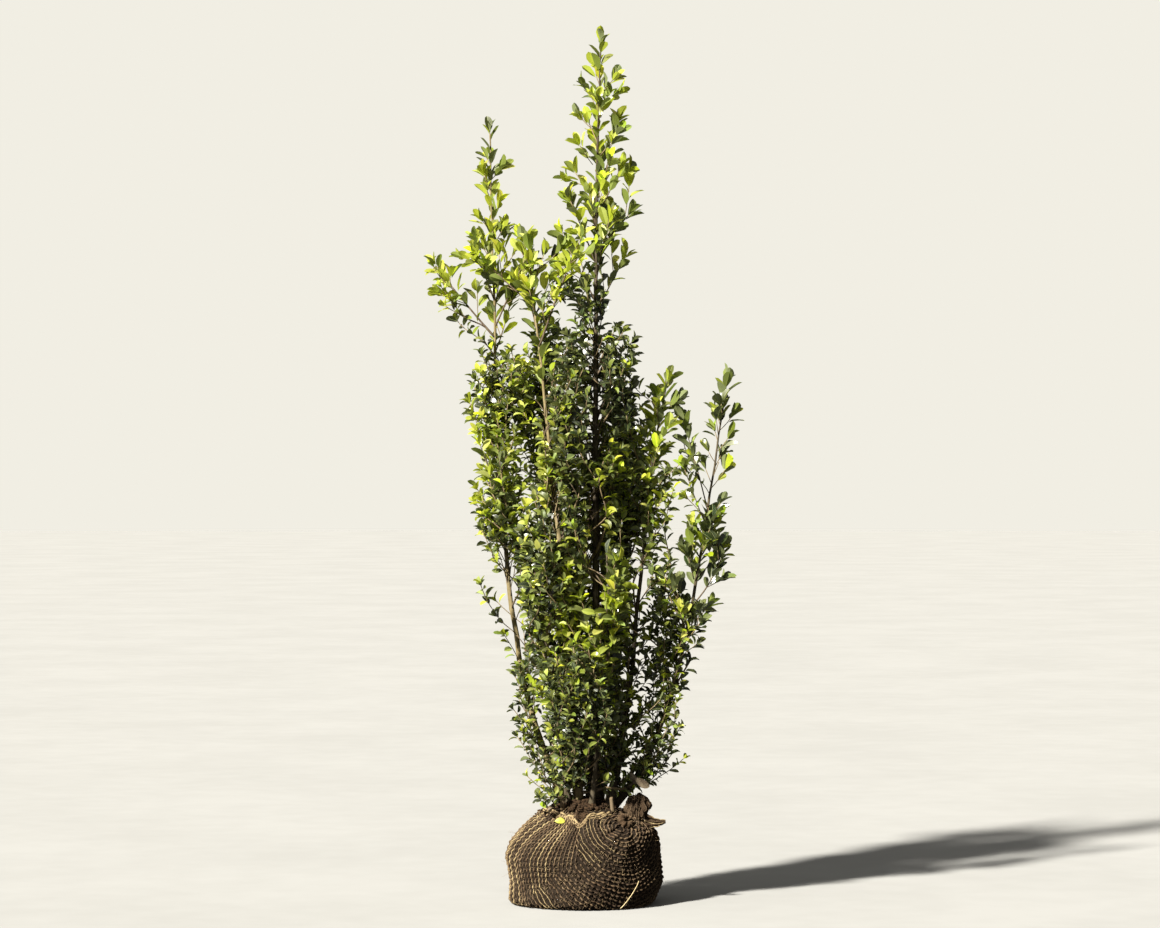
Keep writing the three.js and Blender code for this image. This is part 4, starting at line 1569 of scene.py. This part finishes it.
def mound(low, high, grain, seed):
    """A crumbly heap that fills a box, as a closed heightfield on a disc."""
    middle = (low + high) / 2
    reach = (high - low) / 2
    around, rings = 72, 22
    points = [(middle[0], middle[1], high[2])]
    for ring in range(1, rings + 1):
        share = ring / rings
        for k in range(around):
            angle = k * FULL_TURN / around
            x = middle[0] + reach[0] * share * math.cos(angle)
            y = middle[1] + reach[1] * share * math.sin(angle)
            rise = (high[2] - low[2]) * (1 - share**2.4)
            coarse = noise.noise(Vector((x * 60 + seed, y * 60, 0.3)))
            rough = grain * (coarse + 0.5 * noise.noise(Vector((x * 170, y * 170, seed))))
            points.append((x, y, low[2] + rise + rough * (1 - 0.6 * share)))
    faces = []
    quads = []
    for k in range(around):
        faces.append((0, 1 + k, 1 + (k + 1) % around))
        for ring in range(rings - 1):
            a = 1 + ring * around + k
            b = 1 + ring * around + (k + 1) % around
            quads.append((a, a + around, b + around, b))
    return np.array(points), [np.array(faces), np.array(quads)]


def even_clod():
    """The twelve corners of an even clod, at 1 from its middle."""
    golden = (1 + math.sqrt(5)) / 2
    corners = []
    for a in (-1, 1):
        for b in (-golden, golden):
            corners += [(0, a, b), (a, b, 0), (b, 0, a)]
    return unit(np.array(corners))


def crumb(size, chance):
    """A clod with every corner pushed its own way."""
    corners = even_clod() * size
    corners *= np.array([[chance.uniform(0.7, 1.25)] for _ in corners])
    squash = np.array([chance.uniform(0.7, 1.2), chance.uniform(0.7, 1.2), chance.uniform(0.5, 0.9)])
    return corners * squash


def hull_faces(corners):
    """Triangles between the neighbouring corners of an even clod, all wound outwards."""
    count = len(corners)
    spans = np.linalg.norm(corners[:, None] - corners[None, :], axis=-1)
    edge = spans[0, 1:].min() * 1.05
    near = [{k for k in range(count) if k != i and spans[i, k] < edge} for i in range(count)]
    faces = []
    for i in range(count):
        for j in near[i]:
            for k in near[i] & near[j]:
                if i < j < k:
                    normal = np.cross(corners[j] - corners[i], corners[k] - corners[i])
                    faces.append((i, j, k) if np.dot(normal, corners[i]) > 0 else (i, k, j))
    return np.array(faces)


def build_soil(settings):
    chance = random.Random(settings.seed + 2)
    low, high = box_of("soil_heap")
    pile = Pile()
    pile.add(*mound(low - [0, 0, 0.004], high, 0.006, 2.0))
    faces = hull_faces(even_clod())
    middle, reach = (low + high) / 2, (high - low) / 2
    shape = BallShape()
    for _ in range(190):
        way = towards(math.radians(-95) + chance.gauss(0, 0.10), 0.98 - abs(chance.gauss(0, 0.13)))
        pile.add(crumb(chance.choice((0.0022, 0.003, 0.004)), chance) + shape.skin(way, 0.001), faces)
    for _ in range(60):
        way = towards(math.radians(-165) + chance.gauss(0, 0.45), 0.86 + chance.gauss(0, 0.07))
        pile.add(crumb(chance.choice((0.0022, 0.003, 0.0045)), chance) + shape.skin(way, 0.003), faces)
    for _ in range(620):
        angle = chance.uniform(0, FULL_TURN)
        share = math.sqrt(chance.random()) * 1.02
        size = chance.choice((0.0022, 0.003, 0.0042, 0.006))
        x = middle[0] + reach[0] * share * math.cos(angle)
        y = middle[1] + reach[1] * share * math.sin(angle)
        z = low[2] + (high[2] - low[2]) * (1 - share**2.4) + 0.001
        pile.add(crumb(size, chance) + [x, y, z], faces)
    pile.make("soil_crumbs", soil_material("soil", tuple(settings.soil)), "soil", ["soil_heap"])


def crumpled(node, around, along, folds, depth, seed):
    """A gathered lump of cloth: the node's own solid, drawn into folds that run from its foot to its tip."""
    low, high = (np.array(corner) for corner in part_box(node))
    heart = (low + high) / 2
    tree = node_tree(node)
    points = []
    for j in range(along):
        slope = -math.pi / 2 + math.pi * (j + 0.5) / along
        for i in range(around):
            turn = i * FULL_TURN / around
            way = towards(turn, slope)
            hit = tree.ray_cast(Vector(heart), Vector(way), 1.0)
            reach = hit[3] if hit[0] is not None else 0.02
            ridge = abs(math.sin(folds * turn / 2 + 2.2 * math.sin(2 * slope + seed)))
            fine = noise.noise(Vector(heart + way * reach) * 70 + Vector((seed, 0, 0)))
            drop = depth * (1 - ridge) + depth * 0.7 * fine
            points.append(heart + way * (reach + 0.002 - drop))
    ends = [np.mean(points[:around], axis=0), np.mean(points[-around:], axis=0)]
    return np.vstack([points, *ends]), ring_faces(along, around)


def cloth_corner(chance):
    """A corner of the cloth that sticks out from the bunch: folded once, narrowing to a ragged point."""
    low, high = box_of("cloth_ear")
    rows, columns = 40, 26
    along = np.linspace(0, 1, rows)[:, None]
    across = np.linspace(-1, 1, columns)[None, :]
    start = np.array([low[0] + 0.004, (low[1] + high[1]) / 2, low[2] + 0.62 * (high[2] - low[2])])
    end = np.array([high[0] - 0.001, low[1] + 0.008, low[2] + 0.42 * (high[2] - low[2])])
    half = 0.46 * (high[2] - low[2]) * (1 - 0.80 * along**1.3)
    wave = 0.0030 * np.sin(3.0 * across + 5.0 * along) + 0.0022 * np.sin(9.0 * across - 7.0 * along)
    fold = 0.0075 * np.abs(across + 0.25) * (1 - 0.6 * along)
    skin = start + (end - start) * along[..., None] + np.zeros((rows, columns, 3))
    skin[..., 2] += half * across * (1 + 0.06 * np.sin(23 * along)) - 0.006 * np.sin(math.pi * along)
    skin[..., 1] += wave + fold
    thick = np.array([0.0, 0.0011, 0.0])
    points = np.vstack([(skin - thick).reshape(-1, 3), (skin + thick).reshape(-1, 3)])
    grid = np.arange(rows * columns).reshape(rows, columns)
    front = np.stack([grid[:-1, :-1], grid[:-1, 1:], grid[1:, 1:], grid[1:, :-1]], axis=-1).reshape(-1, 4)
    rim = np.concatenate([grid[0, :-1], grid[:-1, -1], grid[-1, :0:-1], grid[:0:-1, 0]])
    after = np.roll(rim, -1)
    back = rows * columns
    edge = np.stack([after, rim, rim + back, after + back], axis=-1)
    pile, hem = Pile(), Pile()
    pile.add(points, [front[:, ::-1], front + back, edge[:, ::-1]])
    for line in (skin[:, 0], skin[:, -1], skin[:, 9]):
        size = np.array([0.0013 * chance.uniform(0.7, 1.2) for _ in line])
        hem.add(*tube(line - thick, size, 6))
    for row in range(2, rows - 1, 3):
        pile.add(*tube(skin[row] - 1.4 * thick, np.full(columns, 0.0006), 4))
    return pile, hem


def build_cloth(settings):
    jute, damp, soil = tuple(settings.jute), tuple(settings.damp_jute), tuple(settings.soil)
    cloth = hessian_material("gathered hessian", mixed(jute, damp, 0.7), mixed(damp, soil, 0.5), soil, 520.0)
    thread = thread_material("gathered yarn", mixed(jute, damp, 0.3), mixed(damp, soil, 0.6))
    yarns = Pile()
    chance = random.Random(settings.seed + 4)
    for node, folds, depth, seed in (("cloth_bunch", 9, 0.0095, 1.0),):
        around, along = 96, 52
        pile = Pile()
        points, faces = crumpled(node, around, along, folds, depth, seed)
        pile.add(points, faces)
        pile.make(node + "_folds", cloth, "hessian", [node])
        grid = points[: around * along].reshape(along, around, 3)
        middle = points.mean(axis=0)
        for column in range(0, around, 4):
            path = grid[3:-3, column]
            out = unit(path - middle)
            lift = 0.0006 * np.sin(np.arange(len(path)) * 1.9 + column)[:, None]
            size = np.array([0.0010 * chance.uniform(0.7, 1.3) for _ in path])
            yarns.add(*tube(path + out * (0.0004 + lift), size, 4))
        for _ in range(70):
            spot = grid[chance.randrange(along), chance.randrange(around)]
            lean = unit(spot - middle) + np.array([chance.gauss(0, 0.6) for _ in range(3)])
            t = np.linspace(0, 1, 4)[:, None]
            fibre = spot + unit(lean) * t * chance.uniform(0.004, 0.011)
            yarns.add(*tube(fibre, np.linspace(0.0004, 0.0002, 4), 3))
    corner, hem = cloth_corner(chance)
    corner.make("cloth_ear_folds", cloth, "hessian", ["cloth_ear"])
    yarns.make("gathered_yarns", thread, "hessian", [])
    hem.make("corner_hem", thread_material("hem yarn", tuple(settings.straw), damp), "hessian", [])


def fallen_material(name, base, spots):
    """A fallen leaf: matt, with dark specks."""
    material, shader, surface, where = new_material(name, 0.6)
    speck = effect(shader, "speckle", Vector=where, Scale=300.0, Low=0.50, High=0.62)
    shade = effect(shader, "speckle", Vector=where, Scale=60.0)
    tone = shader.mix(shade["Mask"], mixed(base, BLACK, 0.35), mixed(base, (1, 0.95, 0.6), 0.12))
    spotted = shader.mix(shader.times(speck["Mask"], spots), tone, mixed(base, (0.02, 0.01, 0), 0.8))
    shader.tree.links.new(spotted, surface.inputs["Base Color"])
    bump(shader, surface, shade["Height"], 0.4, 0.001)
    return material


# Dead leaves at the neck: the turn and slope at which each lies on the ball, and its length.
DEAD_LEAVES = ((-2.75, 0.80, 0.030), (-2.50, 0.86, 0.026), (2.95, 0.84, 0.032), (-2.2, 0.93, 0.024))


def build_litter(settings):
    """One yellow leaf on the cloth, dead leaves at the neck and on the lowest twig, and a piece of straw."""
    shape = BallShape()
    chance = random.Random(settings.seed + 3)
    template = leaf_template(7, True)
    yellow, dead = LeafHeap(), LeafHeap()
    way = unit(np.array([-0.060, -0.094, 0.090]))
    yellow.add(shape.skin(way, 0.006), [0.9, -0.25, 0.15], way, 0.023, 0.015, 0.7, 0.35, 0.3, 5)
    for turn, slope, size in DEAD_LEAVES:
        way = towards(turn, slope)
        lie = unit(np.array([chance.gauss(0, 1) for _ in range(3)]) + way * 0.5)
        dead.add(shape.skin(way, 0.004), lie, way, size, size * 0.5, 1.3, 0.5, 0.6, chance.randrange(16))
    bunch = node_middle("cloth_bunch")
    hang = bunch + [-0.004, -0.030, 0.068]
    dead.add(hang, [0.80, -0.1, -0.55], [-0.3, -0.8, 0.5], 0.040, 0.018, 0.5, 0.4, 0.5, 3)
    above = hang + [-0.012, 0.01, 0.012]
    dead.add(above, [0.55, -0.3, -0.75], [0.4, -0.9, 0.2], 0.034, 0.015, 0.9, 0.5, 0.4, 7)
    for heap, name, tone, spots, slot in (
        (yellow, "fallen_leaf", settings.fallen, 0.15, "fresh_foliage"),
        (dead, "dead_leaves", settings.dry, 0.85, "deep_foliage"),
    ):
        for pile in heap.piles(template):
            pile.make(name, fallen_material(name.replace("_", " "), tuple(tone), spots), slot, [])
    straws = Pile()
    lower, upper = unit(np.array([0.086, -0.138, -0.100])), unit(np.array([0.126, -0.118, -0.036]))
    for first, last, thick in ((lower, upper, 0.0010), (lower * 0.62 + upper * 0.38, None, 0.0008)):
        last = unit(first + np.array([0.05, 0.0, -0.04])) if last is None else last
        t = np.linspace(0, 1, 14)[:, None]
        line = shape.skin(unit(first * (1 - t) + last * t), 0.0052)
        straws.add(*tube(line, np.full(14, thick), 6))
    pale = thread_material("pale straw", mixed(settings.straw, (1, 0.9, 0.6), 0.35), tuple(settings.straw))
    straws.make("straw_piece", pale, "hessian", [])


# ---------------------------------------------------------------- stage


KEY_WAY = (0.54, 0.60, -0.59)  # the way that the key light shines
KEY_COLOUR = (1.0, 0.96, 0.88)
FILL_COLOUR = (1.0, 0.98, 0.93)
PANEL_WAY = (-0.70, -0.42, 0.577)  # towards the middle of the soft light on the left
PANEL_EDGE, PANEL_FULL = 0.25, 0.95  # cosines from that way where the light begins and is full
FLOOR_REACH = 45.0


def build_stage(settings):
    material = stage_material("stage", tuple(settings.floor))
    around, rings = 64, 12
    turns = np.arange(around) * FULL_TURN / around
    points = [(0.0, 0.0, 0.0)]
    faces = [(0, 1 + k, 1 + (k + 1) % around) for k in range(around)]
    for ring in range(rings):
        far = FLOOR_REACH * ((ring + 1) / rings) ** 2
        points += [(far * math.cos(turn), far * math.sin(turn), 0.0) for turn in turns]
    for ring in range(rings - 1):
        for k in range(around):
            low, high = 1 + ring * around + k, 1 + ring * around + (k + 1) % around
            faces.append((low, low + around, high + around, high))
    mesh = bpy.data.meshes.new("floor")
    mesh.from_pydata(points, [], faces)
    mesh.materials.append(material)
    floor = bpy.data.objects.new("floor", mesh)
    bpy.context.scene.collection.objects.link(floor)
    floor.visible_diffuse = False
    floor.visible_glossy = False

    key_data = bpy.data.lights.new("key", "SUN")
    key_data.energy = settings.sun_strength
    key_data.angle = settings.sun_softness
    key_data.color = KEY_COLOUR
    key = bpy.data.objects.new("key", key_data)
    key.rotation_euler = Vector(KEY_WAY).to_track_quat("-Z", "Y").to_euler()
    bpy.context.scene.collection.objects.link(key)

    world = bpy.data.worlds.new("studio")
    world.use_nodes = True
    shader = Shader(world.node_tree)
    way = shader.add("ShaderNodeTexCoord").outputs["Generated"]
    facing = shader.add("ShaderNodeVectorMath", {0: way, 1: PANEL_WAY}, operation="DOT_PRODUCT")
    panel = shader.ramp(facing.outputs["Value"], PANEL_EDGE, PANEL_FULL)
    strength = shader.plus(shader.times(panel, settings.panel_strength), settings.fill_strength)
    fill = world.node_tree.nodes["Background"]
    shader.fill(fill.inputs["Color"], FILL_COLOUR)
    world.node_tree.links.new(strength, fill.inputs["Strength"])
    backdrop = shader.add("ShaderNodeBackground", {"Color": tuple(settings.backdrop)})
    seen = shader.add("ShaderNodeLightPath").outputs["Is Camera Ray"]
    both = shader.add("ShaderNodeMixShader", {0: seen})
    world.node_tree.links.new(fill.outputs["Background"], both.inputs[1])
    world.node_tree.links.new(backdrop.outputs["Background"], both.inputs[2])
    world.node_tree.links.new(both.outputs["Shader"], world.node_tree.nodes["World Output"].inputs["Surface"])
    bpy.context.scene.world = world

    camera_data = bpy.data.cameras.new("camera")
    camera_data.lens = settings.camera_lens
    camera_data.sensor_width = 36.0
    camera = bpy.data.objects.new("camera", camera_data)
    camera.location = (-0.009, -settings.camera_distance, settings.camera_height)
    camera.rotation_euler = (math.pi / 2, 0.0, 0.0)
    bpy.context.scene.collection.objects.link(camera)
    bpy.context.scene.camera = camera
    bpy.context.scene.view_settings.view_transform = "Standard"


# ---------------------------------------------------------------- operators and panel


class SAPLING_OT_stems(bpy.types.Operator):
    """Cover every stem and stump with bark"""

    bl_idname = "sapling.stems"
    bl_label = "Stems and stumps"

    def execute(self, context):
        build_stems(context.scene.sapling_stems)
        build_stubs(context.scene.sapling_stems)
        return {"FINISHED"}


class SAPLING_OT_foliage(bpy.types.Operator):
    """Grow twigs and leaves on from the stems through every mass"""

    bl_idname = "sapling.foliage"
    bl_label = "Twigs and leaves"

    def execute(self, context):
        build_foliage(context.scene.sapling_foliage)
        return {"FINISHED"}


class SAPLING_OT_root_ball(bpy.types.Operator):
    """Wrap the root ball in hessian and threads"""

    bl_idname = "sapling.root_ball"
    bl_label = "Root ball"

    def execute(self, context):
        build_root_ball(context.scene.sapling_ball)
        return {"FINISHED"}


class SAPLING_OT_soil(bpy.types.Operator):
    """Heap crumbly soil in the neck of the cloth"""

    bl_idname = "sapling.soil"
    bl_label = "Soil"

    def execute(self, context):
        build_soil(context.scene.sapling_ball)
        return {"FINISHED"}


class SAPLING_OT_cloth(bpy.types.Operator):
    """Gather the loose corners of the hessian"""

    bl_idname = "sapling.cloth"
    bl_label = "Gathered cloth"

    def execute(self, context):
        build_cloth(context.scene.sapling_ball)
        return {"FINISHED"}


class SAPLING_OT_litter(bpy.types.Operator):
    """Lay the fallen leaves and the straw on the root ball"""

    bl_idname = "sapling.litter"
    bl_label = "Litter"

    def execute(self, context):
        build_litter(context.scene.sapling_ball)
        return {"FINISHED"}


class SAPLING_OT_stage(bpy.types.Operator):
    """Set the floor, the lights and the camera"""

    bl_idname = "sapling.stage"
    bl_label = "Stage"

    def execute(self, context):
        build_stage(context.scene.sapling_stage)
        return {"FINISHED"}


OPERATORS = (
    SAPLING_OT_stage,
    SAPLING_OT_stems,
    SAPLING_OT_foliage,
    SAPLING_OT_root_ball,
    SAPLING_OT_soil,
    SAPLING_OT_cloth,
    SAPLING_OT_litter,
)


class SAPLING_PT_panel(bpy.types.Panel):
    """The steps that build the sapling"""

    bl_label = "Sapling"
    bl_space_type = "VIEW_3D"
    bl_region_type = "UI"
    bl_category = "Sapling"

    def draw(self, context):
        for operator in OPERATORS:
            self.layout.operator(operator.bl_idname)


SETTINGS = {
    "sapling_foliage": FoliageSettings,
    "sapling_stems": StemSettings,
    "sapling_ball": BallSettings,
    "sapling_stage": StageSettings,
}
CLASSES = (*SETTINGS.values(), *OPERATORS, SAPLING_PT_panel)


def register():
    for cls in CLASSES:
        bpy.utils.register_class(cls)
    for name, cls in SETTINGS.items():
        setattr(bpy.types.Scene, name, PointerProperty(type=cls))


def unregister():
    for name in SETTINGS:
        delattr(bpy.types.Scene, name)
    for cls in reversed(CLASSES):
        bpy.utils.unregister_class(cls)


def main():
    register()
    for operator in OPERATORS:
        group, name = operator.bl_idname.split(".")
        getattr(getattr(bpy.ops, group), name)()


if __name__ == "__main__":
    main()
